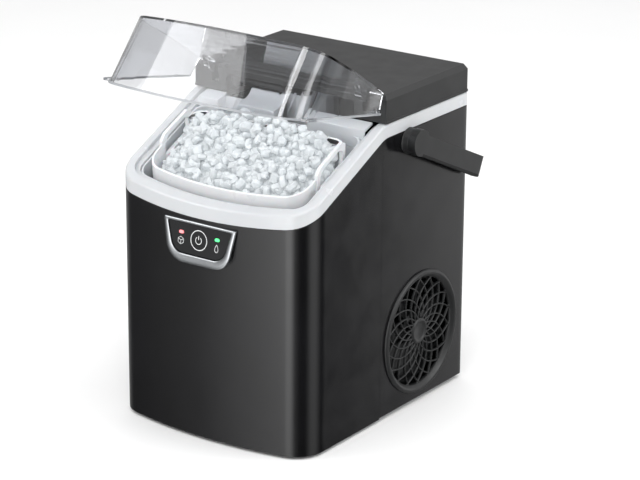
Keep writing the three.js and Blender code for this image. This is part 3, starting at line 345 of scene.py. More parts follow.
def rounded_box(x0, x1, z0, z1, r):
    """Closed outline of a rectangle with round corners."""
    return np.vstack([arc(x1 - r, z0 + r, r, -90, 0, 5), arc(x1 - r, z1 - r, r, 0, 90, 5),
                      arc(x0 + r, z1 - r, r, 90, 180, 5), arc(x0 + r, z0 + r, r, 180, 270, 5)])


# Outlines of the panel in millimetres, at the edge of its dark face and at the outer edge of the
# bezel: top, bottom, half width above, half width below, radius of the lower corners.
FACE_OUTLINE = np.array([213.8, 184.5, 36.5, 32.0, 14.0])
BEZEL_OUTLINE = np.array([216.5, 176.0, 41.5, 37.5, 20.0])
UPPER_CORNER_R = 1.4 * MM


def panel_curve(t):
    """Closed front outline of the panel: 0 is the edge of the dark face, 1 that of the bezel.
    Straight top, leaning sides and large lower corners, all mixed between the two outlines."""
    mixed = (1 - t) * FACE_OUTLINE + t * BEZEL_OUTLINE
    top, bottom, top_half, low_half, r = mixed * MM
    low = arc(low_half - r, bottom + r, r, -90, -12, 12)
    upper = arc(top_half - UPPER_CORNER_R, top - UPPER_CORNER_R, UPPER_CORNER_R, 0, 90, 4)
    right = np.vstack([[[0, bottom]], low, upper, [[0, top]]])
    return np.vstack([right, (right * (-1, 1))[-2:0:-1]])


THROUGH = 10 * MM      # how far each cutter passes the wall, on both sides

front_wrap = wrap("front_wrap", front_curve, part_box("front_shell")[0].z)
without(front_wrap, [prism(panel_curve(0.5), "y", FRONT_Y - THROUGH, FRONT_Y + THROUGH)])
fitted(flat_kept(front_wrap), "machine", "housing_black", "front_shell")

GRILLE_LOW, GRILLE_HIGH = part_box("fan_grille")
GRILLE_Y = (GRILLE_LOW.y + GRILLE_HIGH.y) / 2
GRILLE_Z = (GRILLE_LOW.z + GRILLE_HIGH.z) / 2
FAN_OPENING_R = 58 * MM
VENTS = 7
VENT_FROM, VENT_TO = SEAM_REAR + 33.85 * MM, SEAM_REAR + 103.85 * MM
VENT_LOWEST = 62 * MM
VENT_PITCH = 11 * MM
VENT_TALL = 4.5 * MM
VENT_R = 2.2 * MM
INLET_LOW, INLET_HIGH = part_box("power_inlet")
INLET_FLANGE = 3 * MM
INLET_R = 3 * MM
DRAIN_LOW, DRAIN_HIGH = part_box("drain_plug")
DRAIN_HOLE_R = 6.3 * MM

rear_wrap = wrap("rear_wrap", rear_curve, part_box("rear_shell")[0].z)
cutters = [prism(arc(GRILLE_Y, GRILLE_Z, FAN_OPENING_R, 0, 352.5, 47),
                 "x", HALF_W - THROUGH, HALF_W + THROUGH)]
for count in range(VENTS):
    sill = VENT_LOWEST + VENT_PITCH * count
    cutters.append(prism(rounded_box(VENT_FROM, VENT_TO, sill, sill + VENT_TALL, VENT_R),
                         "x", -HALF_W - THROUGH, -HALF_W + THROUGH))
cutters.append(prism(rounded_box(INLET_LOW.x + INLET_FLANGE, INLET_HIGH.x - INLET_FLANGE,
                                 INLET_LOW.z + INLET_FLANGE, INLET_HIGH.z - INLET_FLANGE, INLET_R),
                     "y", REAR_Y - THROUGH, REAR_Y + THROUGH))
cutters.append(prism(arc((DRAIN_LOW.x + DRAIN_HIGH.x) / 2, (DRAIN_LOW.z + DRAIN_HIGH.z) / 2,
                         DRAIN_HOLE_R, 0, 345, 23), "y", REAR_Y - THROUGH, REAR_Y + THROUGH))
without(rear_wrap, cutters)
fitted(flat_kept(rear_wrap), "machine", "housing_black", "rear_shell")

# A tongue moulded behind each seam, so that no light passes between the two shells.
TONGUE_REACH = 4 * MM
TONGUE_FACE = HALF_W - WALL - 0.1 * MM
TONGUE_BACK = HALF_W - WALL - 1.3 * MM
TONGUE_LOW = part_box("base_pan")[1].z + 1 * MM
TONGUE_TOP = RIM_Z + RIM_SLOPE * (SEAM_FRONT - TONGUE_REACH) - 6 * MM
tongue_outline = rounded_box(SEAM_FRONT - TONGUE_REACH, SEAM_REAR + TONGUE_REACH,
                             TONGUE_LOW, TONGUE_TOP, 0.5 * MM)
for side, sign in (("left", -1), ("right", 1)):
    tongue = prism(tongue_outline, "x", sign * TONGUE_BACK, sign * TONGUE_FACE)
    tongue.name = f"seam_tongue_{side}"
    fitted(tongue, "machine", "housing_black")

# ---- Base, feet and rear fittings ------------------------------------------------------------
# Injection-moulded black plastic tray on four round rubber feet, with a moulded mains inlet and
# a rubber drain bung in the rear shell. Their edges are eased as a mould leaves them.

# Moulded black plastic: spark-eroded grain that breaks up its dull highlight.
moulded_black_abs = blank("moulded_black_abs")
surfaced(moulded_black_abs, {
    "Base Color": tinted(moulded_black_abs, 40, "#121314", "#171819"),
    "Roughness": varied(moulded_black_abs, 12, 0.42, 0.52),
    "Normal": grain(moulded_black_abs, 0.45, 0.12, 0.05),
    "IOR": 1.53,
})

# Soft black rubber: no highlight to speak of, slightly dusty.
black_rubber = blank("black_rubber")
surfaced(black_rubber, {
    "Base Color": tinted(black_rubber, 8, "#232323", "#2d2c2b"),
    "Roughness": varied(black_rubber, 6, 0.78, 0.92),
    "Normal": grain(black_rubber, 0.7, 0.2, 0.08), "IOR": 1.52,
})

SLOT = {part["node"]: part["material_slot"] for part in frame["record"]["subparts"]}
SAME_POINT = 3e-6
SAME_PLANE = math.radians(0.6)


def eased_copy(node, finish, width, sharp=32):
    """A CAD piece with its edges rounded: a merged copy whose flat areas are joined first, and
    whose edges sharper than the angle get a bevel of this width in millimetres."""
    source = frame["nodes"][node]
    mesh = source.data.copy()
    solid = bmesh.new()
    solid.from_mesh(mesh)
    bmesh.ops.remove_doubles(solid, verts=solid.verts, dist=SAME_POINT)
    bmesh.ops.dissolve_limit(solid, angle_limit=SAME_PLANE, verts=solid.verts, edges=solid.edges)
    solid.to_mesh(mesh)
    solid.free()
    mesh.materials.clear()
    mesh.materials.append(finish)
    piece = bpy.data.objects.new(node + "_eased", mesh)
    bpy.context.scene.collection.objects.link(piece)
    smoothed(piece, sharp)
    edge = piece.modifiers.new("edge", "BEVEL")
    edge.width = width * MM
    edge.segments = 3
    edge.limit_method = "ANGLE"
    edge.angle_limit = math.radians(sharp)
    edge.miter_outer = "MITER_ARC"
    return fitted(flat_kept(piece), source["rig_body"], SLOT[node], node)


eased_copy("base_pan", moulded_black_abs, 0.4)
for node in ("foot_front_left", "foot_front_right", "foot_rear_left", "foot_rear_right"):
    eased_copy(node, black_rubber, 0.4, sharp=40)
eased_copy("power_inlet", moulded_black_abs, 0.3)
eased_copy("drain_plug", black_rubber, 0.4, sharp=40)

# ---- Machinery inside ------------------------------------------------------------------------
# Bought-in parts bolted to the base: they are seen only through the slots and the grille, so they
# keep their solids and get the finish of their material.


def streaked(material, size, stretch, low, high):
    """A value that changes between low and high in fine lines: noise of this size in millimetres,
    drawn out along the axis whose factor in the stretch is small."""
    place = add(material, "ShaderNodeTexCoord").outputs["Object"]
    drawn = add(material, "ShaderNodeMapping", {"Vector": place, "Scale": stretch})
    noise = add(material, "ShaderNodeTexNoise",
                {"Vector": drawn.outputs[0], "Scale": per_mm(size), "Detail": 2.0})
    return add(material, "ShaderNodeMapRange", {"Value": noise.outputs["Fac"], "To Min": low,
                                                "To Max": high}).outputs["Result"]


# Brushed stainless steel: fine upright lines.
brushed_steel = blank("brushed_steel")
surfaced(brushed_steel, {"Roughness": streaked(brushed_steel, 0.3, (1.0, 1.0, 0.04), 0.22, 0.42),
                         "Base Color": tinted(brushed_steel, 20, "#a6aaae", "#b4b7ba"),
                         "Metallic": 1.0})

# Drawn copper tube: warm, slightly tarnished in patches.
drawn_copper = blank("drawn_copper")
surfaced(drawn_copper, {"Base Color": tinted(drawn_copper, 12, "#b87347", "#8f5636"),
                        "Metallic": 1.0, "Roughness": varied(drawn_copper, 8, 0.25, 0.42)})

# Rolled aluminium fins: pale and dull, with fine rolling lines.
rolled_aluminium = blank("rolled_aluminium")
surfaced(rolled_aluminium, {"Base Color": tinted(rolled_aluminium, 15, "#bfc2c5", "#cdd0d2"),
                            "Metallic": 1.0, "Roughness": varied(rolled_aluminium, 3, 0.38, 0.5)})

# Stoved black enamel on drawn steel: glossy, with a slight ripple.
black_enamel = blank("black_enamel")
surfaced(black_enamel, {"Base Color": tinted(black_enamel, 30, "#141516", "#191a1b"),
                        "Roughness": varied(black_enamel, 10, 0.16, 0.24),
                        "Normal": grain(black_enamel, 2.0, 0.08, 0.03), "IOR": 1.5})

# Glass-fibre circuit board under green solder resist.
green_board = blank("green_board")
surfaced(green_board, {"Base Color": tinted(green_board, 5, "#1d5a39", "#246b45"),
                       "Roughness": varied(green_board, 4, 0.3, 0.45),
                       "Normal": grain(green_board, 0.8, 0.15, 0.04), "IOR": 1.5})

# Milky silicone tube: soft sheen, light gets into its wall.
silicone_tube = blank("silicone_tube")
surfaced(silicone_tube, {"Base Color": tinted(silicone_tube, 10, "#dbe1e3", "#e6eaec"),
                         "Roughness": varied(silicone_tube, 5, 0.4, 0.5),
                         "Subsurface Weight": 0.3, "Subsurface Scale": 0.002, "IOR": 1.41})

# Moulded white plastic of the tub: duller than the rim, with a trace of flow marks.
moulded_white_pp = blank("moulded_white_pp")
surfaced(moulded_white_pp, {"Base Color": tinted(moulded_white_pp, 35, "#c3c6ca", "#cacdd0"),
                            "Roughness": varied(moulded_white_pp, 14, 0.32, 0.42),
                            "Normal": grain(moulded_white_pp, 0.9, 0.06, 0.03),
                            "Subsurface Weight": 0.06, "Subsurface Scale": 0.003, "IOR": 1.49})

for finish, nodes in (
    (moulded_black_abs, ("fan_shroud", "fan_rotor", "water_pump")),
    (brushed_steel, ("fan_motor", "auger_barrel", "ice_auger")),
    (drawn_copper, ("evaporator_coil", "suction_line")),
    (rolled_aluminium, ("condenser",)),
    (black_enamel, ("compressor", "gear_motor")),
    (green_board, ("power_board", "display_board")),
    (silicone_tube, ("pump_hose", "feed_hose")),
    (moulded_white_pp, ("ice_outlet",)),
):
    for node in nodes:
        frame["nodes"][node].data.materials.clear()
        frame["nodes"][node].data.materials.append(finish)

# ---- White rim and tub -----------------------------------------------------------------------
# The rim is one moulding in glossy white plastic that snaps over the shells: a crowned outer band
# with a lower ledge inside. The tub, the ice chute and the slotted basket are moulded in white too.

# Glossy white moulding: a clear soft reflection and a little light inside the wall.
glossy_white_abs = blank("glossy_white_abs")
surfaced(glossy_white_abs, {"Base Color": tinted(glossy_white_abs, 50, "#bcbec1", "#c2c4c6"),
                            "Roughness": varied(glossy_white_abs, 18, 0.2, 0.28),
                            "Normal": grain(glossy_white_abs, 1.6, 0.04, 0.02),
                            "Subsurface Weight": 0.05, "Subsurface Scale": 0.003, "IOR": 1.53})


def whole_curve(inset):
    """Closed plan line of the body: front, right side and rear, then their mirror image."""
    front = front_half(inset)
    rear = rear_half(inset)
    side = side_line(inset, front[-1, 1], rear[0, 1], 64)[1:-1]
    right = np.vstack([front, side, rear])
    return np.vstack([right, (right * (-1, 1))[-2:0:-1]])


# Corners of the rim's section: inset, lift, whether it follows the rim line, radius.
RIM_SECTION = [(0, 0, 1, 0.4), (0, 13.4, 1, 2.4), (9.1, 13.4, 1, 0.9), (9.4, 9.4, 1, 0.4),
               (14.5, 9.4, 1, 1.2), (14.5, -2, 1, 0.5), (12.5, -2, 1, 0.5), (12.5, 7.4, 1, 0.3),
               (2.2, 7.4, 1, 0.3), (2.2, 0, 1, 0.3)]
rim_corners = eased([(a * MM, b * MM, f, r * MM) for a, b, f, r in RIM_SECTION])
rim_grid = carried(rim_corners, whole_curve)
rim = made("rim", rim_grid, skin(*rim_grid.shape[:2], close_rows=True, close_columns=True),
           glossy_white_abs)
fitted(flat_kept(rim), "machine", "white_trim", "top_frame")
eased_copy("basin_liner", moulded_white_pp, 0.8, sharp=30)
eased_copy("rear_deck", moulded_white_pp, 0.6, sharp=30)
eased_copy("ice_chute", moulded_white_pp, 0.6, sharp=30)

# White polypropylene of the basket: milky, so light enters the thin wall and makes it paler.
milky_white_pp = blank("milky_white_pp")
surfaced(milky_white_pp, {"Base Color": tinted(milky_white_pp, 40, "#d4d6d8", "#dadbdd"),
                          "Roughness": varied(milky_white_pp, 14, 0.26, 0.34),
                          "Normal": grain(milky_white_pp, 1.2, 0.05, 0.03),
                          "Subsurface Weight": 0.15, "Subsurface Scale": 0.003, "IOR": 1.49})
eased_copy("ice_basket", milky_white_pp, 0.5, sharp=30)

# ---- Top cap, lever and hinge pins -----------------------------------------------------------
# The cap is a bevelled black cover over the machine compartment. Two blocks at its front carry the
# lid on steel pins, and the level lever hangs between them.

# Matt black moulding: a little paler and rougher than the base, as its top catches the light.
matt_black_abs = blank("matt_black_abs")
surfaced(matt_black_abs, {
    "Base Color": tinted(matt_black_abs, 60, "#0f1011", "#141516"),
    "Roughness": varied(matt_black_abs, 20, 0.36, 0.44),
    "Normal": grain(matt_black_abs, 0.6, 0.1, 0.04), "IOR": 1.53,
})
eased_copy("top_cap", matt_black_abs, 0.7)
eased_copy("level_lever", matt_black_abs, 0.4, sharp=40)
for side in ("left", "right"):
    eased_copy(f"hinge_pin_{side}", brushed_steel, 0.2, sharp=40)

# ---- Carry handle ----------------------------------------------------------------------------
# A bail of moulded black plastic, folded back behind the machine. It turns on two round bosses
# that stand out from the sides of the rear shell.

eased_copy("carry_handle", matt_black_abs, 0.9, sharp=28)
for side in ("left", "right"):
    eased_copy(f"handle_boss_{side}", moulded_black_abs, 0.4, sharp=40)

# ---- Lid -------------------------------------------------------------------------------------
# Clear, slightly smoky acrylic, drawn in towards a crowned top, with a thin rim at its open edge,
# two finger tabs and two hinge ears. It is moulded in one piece and stands open on its pins.

# Clear acrylic with a trace of smoke: it bends what lies behind it.
smoky_acrylic = blank("smoky_acrylic")
clear = add(smoky_acrylic, "ShaderNodeBsdfPrincipled", {
    "Base Color": tinted(smoky_acrylic, 80, "#e2e3e6", "#e6e7e9"), "Roughness": 0.02,
    "Transmission Weight": 1.0, "IOR": 1.49, "Normal": grain(smoky_acrylic, 30, 0.02, 0.05)})
# Light that falls through the lid is hardly dimmed, so the ice below is lit.
passing = add(smoky_acrylic, "ShaderNodeBsdfTransparent", {"Color": linear("#eceded")})
shadow = add(smoky_acrylic, "ShaderNodeLightPath").outputs["Is Shadow Ray"]
both = add(smoky_acrylic, "ShaderNodeMixShader",
           {0: shadow, 1: clear.outputs[0], 2: passing.outputs[0]})
add(smoky_acrylic, "ShaderNodeOutputMaterial", {"Surface": both.outputs[0]})

# Polished open edge, painted pale grey: a painted glow for light that has run inside the wall and
# comes out there.
painted_glow_edge = blank("painted_glow_edge")
surfaced(painted_glow_edge, {"Base Color": tinted(painted_glow_edge, 30, "#93969a", "#a1a4a7"),
                         "Roughness": 0.15, "Transmission Weight": 0.1, "IOR": 1.49,
                         "Normal": grain(painted_glow_edge, 8, 0.02, 0.05)})

# Rear edge, matt so that it scatters light, and painted dark grey: painted shade that dims the
# bright line it would catch.
shaded_rear_edge = blank("shaded_rear_edge")
surfaced(shaded_rear_edge, {"Base Color": tinted(shaded_rear_edge, 12, "#3c3d3f", "#46474a"), "Roughness": 0.75,
                     "Normal": grain(shaded_rear_edge, 0.6, 0.3, 0.1), "IOR": 1.49})

LID_OPEN = math.radians(36)
LID_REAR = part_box("lid")[1].y
PIN_LOW, PIN_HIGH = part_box("hinge_pin_left")
SHUT = (Matrix.Rotation(LID_OPEN, 4, "X")
        @ Matrix.Translation((0, -(PIN_LOW.y + PIN_HIGH.y) / 2, -(PIN_LOW.z + PIN_HIGH.z) / 2)))
CRISP = math.radians(26)
EARS_REACH = 45 * MM
OPEN_EDGE_TALL = 2.1 * MM
# How far in from the rear, and how far to each side, the painted dark shade reaches.
SHADED_REACH = 30 * MM
SHADED_HALF = 84 * MM
SQUARE_ON = 0.9

lid = eased_copy("lid", smoky_acrylic, 1.3, sharp=30)
lid.data.materials.append(painted_glow_edge)
lid.data.materials.append(shaded_rear_edge)
rounding = lid.modifiers["edge"]
rounding.limit_method = "WEIGHT"
# Faces of the rounded edges take the second finish, the pale painted glow.
rounding.material = 1

# The height above the rim line, with the lid shut, tells the faces of its open edge from others.
sheet = bmesh.new()
sheet.from_mesh(lid.data)
above_rim = {}
for corner in sheet.verts:
    shut = SHUT @ corner.co
    above_rim[corner] = shut.z - RIM_SLOPE * shut.y
open_edge_top = min(above_rim.values()) + OPEN_EDGE_TALL
rearward = Vector((0, math.cos(LID_OPEN), -math.sin(LID_OPEN)))
# Open-edge faces take the pale painted glow; rear faces square to the back, the painted dark shade.
for face in sheet.faces:
    middle = face.calc_center_median()
    at_rear = middle.y > LID_REAR - SHADED_REACH and abs(middle.x) < SHADED_HALF
    if max(above_rim[v] for v in face.verts) < open_edge_top:
        face.material_index = 1
    elif at_rear and face.normal.dot(rearward) > SQUARE_ON:
        face.material_index = 2

# Crisp edges are rounded, as far as their neighbours leave room, but not those near the ears.
weight = sheet.edges.layers.float.new("bevel_weight_edge")
for border in sheet.edges:
    crisp = len(border.link_faces) == 2 and border.calc_face_angle(0) > CRISP
    forward_of_ears = max(v.co.y for v in border.verts) < LID_REAR - EARS_REACH
    border[weight] = float(crisp and forward_of_ears)
sheet.to_mesh(lid.data)
sheet.free()

# ---- Fan grille ------------------------------------------------------------------------------
# Round guard in black plastic: two crossing families of spiral ribs between a dished hub and a
# raised, rounded ring that sits on the side wall.

RING_OPEN_R = 54.5 * MM
HUB_R = 13 * MM
SWEEP = math.radians(52)      # how far each rib turns from the hub to the ring
RIBS = 18
RIB_HALF = 0.75 * MM
RIB_ROOT = 1.5 * MM      # how far each rib runs into the hub and the ring


def turned(profile, steps):
    """Grid of (radius, height) pairs carried round the fan's axis at equal angles; the height
    runs out from the wall."""
    a = np.linspace(0, 2 * np.pi, steps, endpoint=False)
    r, h = np.asarray(profile).T * MM
    return np.stack([np.broadcast_to(HALF_W + h[:, None], (len(r), steps)),
                     GRILLE_Y + r[:, None] * np.cos(a), GRILLE_Z + r[:, None] * np.sin(a)], -1)


def spiral_ribs(direction, lift):
    """Ribs of one family: a rounded bar section carried along each spiral, whose angle grows with
    its radius. The grid is ribs x steps along x points round the section."""
    r = np.linspace(HUB_R - RIB_ROOT, RING_OPEN_R + RIB_ROOT, 40)
    start = np.arange(RIBS) * 2 * np.pi / RIBS
    a = start[:, None] + direction * SWEEP * (r - HUB_R) / (RING_OPEN_R - HUB_R)
    path = np.stack([r * np.cos(a), r * np.sin(a)], -1)
    ahead = np.gradient(path, axis=1)
    ahead /= np.linalg.norm(ahead, axis=-1, keepdims=True)
    across = np.stack([-ahead[..., 1], ahead[..., 0]], -1)
    aside = np.array([-1, -1, -0.62, 0, 0.62, 1, 1]) * RIB_HALF
    out = np.array([-3.2, -1.5, -0.95, -0.8, -0.95, -1.5, -3.2]) * MM + lift
    plan = path[:, :, None, :] + aside[:, None] * across[:, :, None, :]
    height = np.broadcast_to(HALF_W + out, plan.shape[:3])
    return np.stack([height, GRILLE_Y + plan[..., 0], GRILLE_Z + plan[..., 1]], -1)


grille_points, grille_faces, used = [], [], 0
for family in (spiral_ribs(1, 0.0), spiral_ribs(-1, 0.06 * MM)):
    for rib in family:
        rows, columns = rib.shape[:2]
        faces = skin(rows, columns, close_columns=True).tolist()
        faces += [list(range(columns)), list(range((rows - 1) * columns, rows * columns))]
        grille_points.append(rib.reshape(-1, 3))
        grille_faces += [[used + i for i in face] for face in faces]
        used += rows * columns

# Profiles of the ring and the hub: radius and height in millimetres.
RING_PROFILE = [(54, -3.4), (57.7, -3.4), (57.7, 0.3), (62, 0.3), (61.9, 1.2), (61.3, 2.1),
                (60.4, 2.8), (59.3, 3.2), (58.2, 3.1), (57.2, 2.5), (56.2, 1.5), (55.2, 0.4),
                (54.5, -0.5), (54.1, -1.2)]
HUB_PROFILE = [(0.01, -3.4), (13.4, -3.4), (13.2, -1.6), (12.8, -0.8), (12.2, -0.4), (11.4, 0.1),
               (10.6, 0.2), (9.9, 0.0), (9.3, -0.8), (7, -1.2), (3, -1.5), (0.01, -1.6)]
for profile, steps in ((RING_PROFILE, 96), (HUB_PROFILE, 48)):
    turned_grid = turned(profile, steps)
    grille_points.append(turned_grid.reshape(-1, 3))
    grille_faces += (skin(len(profile), steps, True, True) + used).tolist()
    used += turned_grid.size // 3
grille = made("spiral_grille", np.vstack(grille_points), grille_faces, moulded_black_abs, 50)
fitted(grille, "machine", "black_matt", "fan_grille")

# ---- Control panel ---------------------------------------------------------------------------
# A glossy black face in a bright bezel, tilted upwards a little. The bezel is plated plastic, the
# marks are printed in white, and two small lenses and a round button sit in the face.

PANEL_TILT = math.tan(math.radians(7))
PANEL_Y = FRONT_Y - 1.5 * MM
PANEL_TOP_Z = BEZEL_OUTLINE[0] * MM
BEZEL_FOOT = 0.4 * MM      # how far its foot and its inner lip lie behind the bowed front
BEZEL_LIP = 4 * MM

# Plated plastic: bright, with a fine brushed grain across.
plated_bezel = blank("plated_bezel")
surfaced(plated_bezel, {"Roughness": streaked(plated_bezel, 0.35, (0.03, 1.0, 1.0), 0.16, 0.32),
                        "Base Color": tinted(plated_bezel, 20, "#a0a2a5", "#adb0b2"),
                        "Metallic": 1.0})

# Polished black acrylic: deep and mirror-like.
polished_black = blank("polished_black")
surfaced(polished_black, {"Base Color": tinted(polished_black, 30, "#0d0e10", "#121315"),
                          "Roughness": varied(polished_black, 20, 0.05, 0.1), "IOR": 1.49})

# Screen-printed white ink: flat and slightly rough.
white_ink = blank("white_ink")
surfaced(white_ink, {"Base Color": tinted(white_ink, 2, "#e8e9ea", "#f4f5f5"),
                     "Roughness": varied(white_ink, 1, 0.45, 0.6), "IOR": 1.5})


def panel_point(outline, depth):
    """Outline points laid in the tilted plane of the panel, moved back by the depth."""
    y = PANEL_Y + (PANEL_TOP_Z - outline[:, 1]) * -PANEL_TILT + depth
    return np.column_stack([outline[:, 0], y, outline[:, 1]])


def bezel_grid():
    """Bezel rings from inside the opening, over its crowned front and back to the housing."""
    rings = [(0, 3.0), (0, 0.25), (0.05, 0.0), (0.16, -0.25), (0.5, -0.35), (0.84, -0.1),
             (0.95, 0.3), (1.0, 1.0)]
    rows = [panel_point(panel_curve(t), depth * MM) for t, depth in rings]
    for t, behind in ((1, BEZEL_FOOT), (0, BEZEL_LIP)):
        x, z = panel_curve(t).T
        rows.append(np.column_stack([x, BOW_Y - np.sqrt(BOW_R ** 2 - x ** 2) + behind, z]))
    return np.stack(rows)


bezel_rows = bezel_grid()
bezel = made("bezel", bezel_rows, skin(*bezel_rows.shape[:2], close_rows=True, close_columns=True),
             plated_bezel, 40)
fitted(bezel, "machine", "bezel_metal", "panel_bezel")
eased_copy("panel_face", polished_black, 0.2)
eased_copy("power_button", polished_black, 0.3, sharp=40)


def ribbon(path, half, closed=False):
    """Flat printed line of even width along a path of (x, z) points in the panel's plane."""
    path = np.asarray(path, float) * MM
    if closed:
        ahead = np.roll(path, -1, 0) - np.roll(path, 1, 0)
    else:
        ahead = np.gradient(path, axis=0)
    ahead /= np.linalg.norm(ahead, axis=1, keepdims=True)
    across = np.column_stack([-ahead[:, 1], ahead[:, 0]]) * half * MM
    return np.stack([path - across, path + across], 1)


def printed(name, strokes, body, depth, slot):
    """Ink marks made of several ribbons, each lying just proud of the panel."""
    points, faces, count = [], [], 0
    for stroke, closed in strokes:
        rows = len(stroke)
        points.append(panel_point(stroke.reshape(-1, 2), depth * MM))
        faces += (skin(rows, 2, close_rows=closed) + count).tolist()
        count += rows * 2
    mark = made(name, np.vstack(points), faces, white_ink)
    thick = mark.modifiers.new("ink", "SOLIDIFY")
    thick.thickness = 0.06 * MM
    thick.offset = 0.0
    fitted(mark, body, slot)


# Places of the marks on the panel and their depths behind its plane, in millimetres.
BUTTON_Z = 200.0
BUTTON_RING_R = 9.15
POWER_R = 3.4
LAMP_X = 20.7
ICON_Z = 196.5
ICON_R = 3.6
DROP_WIDE = 2.5
FACE_DEPTH = 0.83
BUTTON_DEPTH = 0.43

hexagon = arc(-LAMP_X, ICON_Z, ICON_R, 30, 390, 6)[:-1]
cube = [(ribbon(np.vstack([hexagon[k], (hexagon[k] + hexagon[(k + 1) % 6]) / 2,
                           hexagon[(k + 1) % 6]]), 0.2), False) for k in range(6)]
cube += [(ribbon(np.array([[-LAMP_X, ICON_Z], hexagon[k]]), 0.2), False) for k in (0, 2, 4)]
round_drop = np.radians(np.linspace(0, 360, 33)[:-1])
drop = np.column_stack([LAMP_X + DROP_WIDE * np.sin(round_drop) * np.sin(round_drop / 2),
                        ICON_Z + ICON_R * np.cos(round_drop)])
printed("ice_mark", cube, "machine", FACE_DEPTH, "panel_gloss")
printed("water_mark", [(ribbon(drop, 0.22, True), True)], "machine", FACE_DEPTH, "panel_gloss")
ring_line = arc(0, BUTTON_Z, BUTTON_RING_R, 0, 360, 64)[:-1]
printed("button_ring", [(ribbon(ring_line, 0.35, True), True)], "machine", FACE_DEPTH,
        "panel_gloss")
power = [(ribbon(arc(0, BUTTON_Z, POWER_R, 125, 415, 28), 0.3), False),
         (ribbon(np.array([[0, BUTTON_Z + 0.8], [0, BUTTON_Z + 4.4]]), 0.3), False)]
printed("power_mark", power, "button", BUTTON_DEPTH, "panel_gloss")

for node, shade, glow in (("lamp_ice_full", "#e57f82", "#ff8a8e"),
                          ("lamp_add_water", "#4fd07a", "#5bff92")):
    lens = blank("frosted_lens_" + node)
    surfaced(lens, {"Base Color": tinted(lens, 1.5, shade, glow), "IOR": 1.49,
                    "Roughness": varied(lens, 1, 0.25, 0.4),
                    "Emission Color": linear(glow), "Emission Strength": 0.9})
    eased_copy(node, lens, 0.3, sharp=40)

# ---- Ice -------------------------------------------------------------------------------------
# Freshly made nuggets heaped in the basket: short frozen cylinders with worn edges. They lie
# loose and only show what the basket holds, so they have no solid of their own.

# Ice full of air: frosty and half clear, with wet glints. The small even glow is painted light: it
# stands in for light that has wandered through many nuggets and fills the gaps between them.
frosty_ice = blank("frosty_ice")
surfaced(frosty_ice, {"Base Color": tinted(frosty_ice, 6, "#cdd1d4", "#dce0e2"),
                      "Roughness": varied(frosty_ice, 4, 0.06, 0.22),
                      "Normal": grain(frosty_ice, 3.0, 0.2, 0.4), "IOR": 1.31,
                      "Subsurface Weight": 0.5, "Subsurface Scale": 0.006,
                      "Transmission Weight": 0.25,
                      # Painted glow: an even emission for light scattered through the heap.
                      "Emission Color": linear("#f4f8fa"), "Emission Strength": 0.08,
                      "Subsurface Radius": (1.0, 1.0, 1.0)})

BASKET_LOW, BASKET_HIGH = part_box("ice_basket")
NUGGET_R = 4.5 * MM
NUGGET_HALF = 5.4 * MM
SIDES = 7
HEAP_HALF = BASKET_HIGH.x - 6 * MM
HEAP_FRONT = BASKET_LOW.y + 7 * MM
HEAP_REAR = BASKET_HIGH.y - 6 * MM
HEAP_BOW_R = BOW_R - 28 * MM
HEAP_CORNER_X = 26 * MM
HEAP_CORNER_Y = 20 * MM
HEAP_FOOT = 1 * MM       # above the rim line: its front, how far it rises, how far it falls
HEAP_RISE = 24 * MM
HEAP_FALL = 20 * MM
PITCH = 7.6 * MM
LAYERS = 4
LAYER_DEPTH = 5.5 * MM


def heap_height(x, y):
    """Surface of the heap: follows the sloped rim, rises to the rear and falls at both sides."""
    back = np.clip((y - HEAP_FRONT) / (HEAP_REAR - HEAP_FRONT), 0, 1)
    aside = np.abs(x) / HEAP_HALF
    lift = HEAP_FOOT + HEAP_RISE * back ** 0.8 - HEAP_FALL * aside ** 7
    return RIM_Z + RIM_SLOPE * y + lift


def in_basket(x, y, margin):
    """Whether a point lies inside the bowed plan of the basket, short of the margin."""
    bow = BOW_Y - np.sqrt(np.maximum(HEAP_BOW_R ** 2 - x ** 2, 0))
    corner = np.clip((np.abs(x) - HEAP_HALF + HEAP_CORNER_X) / HEAP_CORNER_X, 0, 1)
    front = bow + HEAP_CORNER_Y * (1 - np.sqrt(1 - np.minimum(corner, 0.999) ** 2))
    return (np.abs(x) < HEAP_HALF - margin) & (y > front + margin) & (y < HEAP_REAR - margin)


# One nugget: rings of (radius, height) about its axis, as shares of its radius and half length.
rings = np.array([(0.0, -1.0), (0.8, -0.9), (1.0, -0.5), (0.94, 0.3), (0.86, 0.8), (0.0, 1.0)])
about = np.arange(SIDES) * 2 * np.pi / SIDES
nugget = np.stack([rings[:, :1] * np.cos(about) * NUGGET_R, rings[:, :1] * np.sin(about) * NUGGET_R,
                   np.broadcast_to(rings[:, 1:] * NUGGET_HALF, (len(rings), SIDES))], -1)
nugget_faces = skin(len(rings), SIDES, close_columns=True)

# Their places: a jittered grid in a few layers that follow the surface of the heap.
rng = np.random.default_rng(17)
xs = np.arange(-HEAP_HALF, HEAP_HALF, PITCH)
ys = np.arange(HEAP_FRONT, HEAP_REAR, PITCH)
gx, gy, layer = np.meshgrid(xs, ys, np.arange(LAYERS), indexing="ij")
spots = np.column_stack([gx.ravel(), gy.ravel(), layer.ravel()])
spots[:, :2] += rng.uniform(-0.5, 0.5, (len(spots), 2)) * PITCH
height = heap_height(spots[:, 0], spots[:, 1]) - spots[:, 2] * LAYER_DEPTH
height += rng.uniform(-0.4, 0.5, len(spots)) * PITCH
keep = in_basket(spots[:, 0], spots[:, 1], 2 * MM)
spots, height = spots[keep], height[keep]

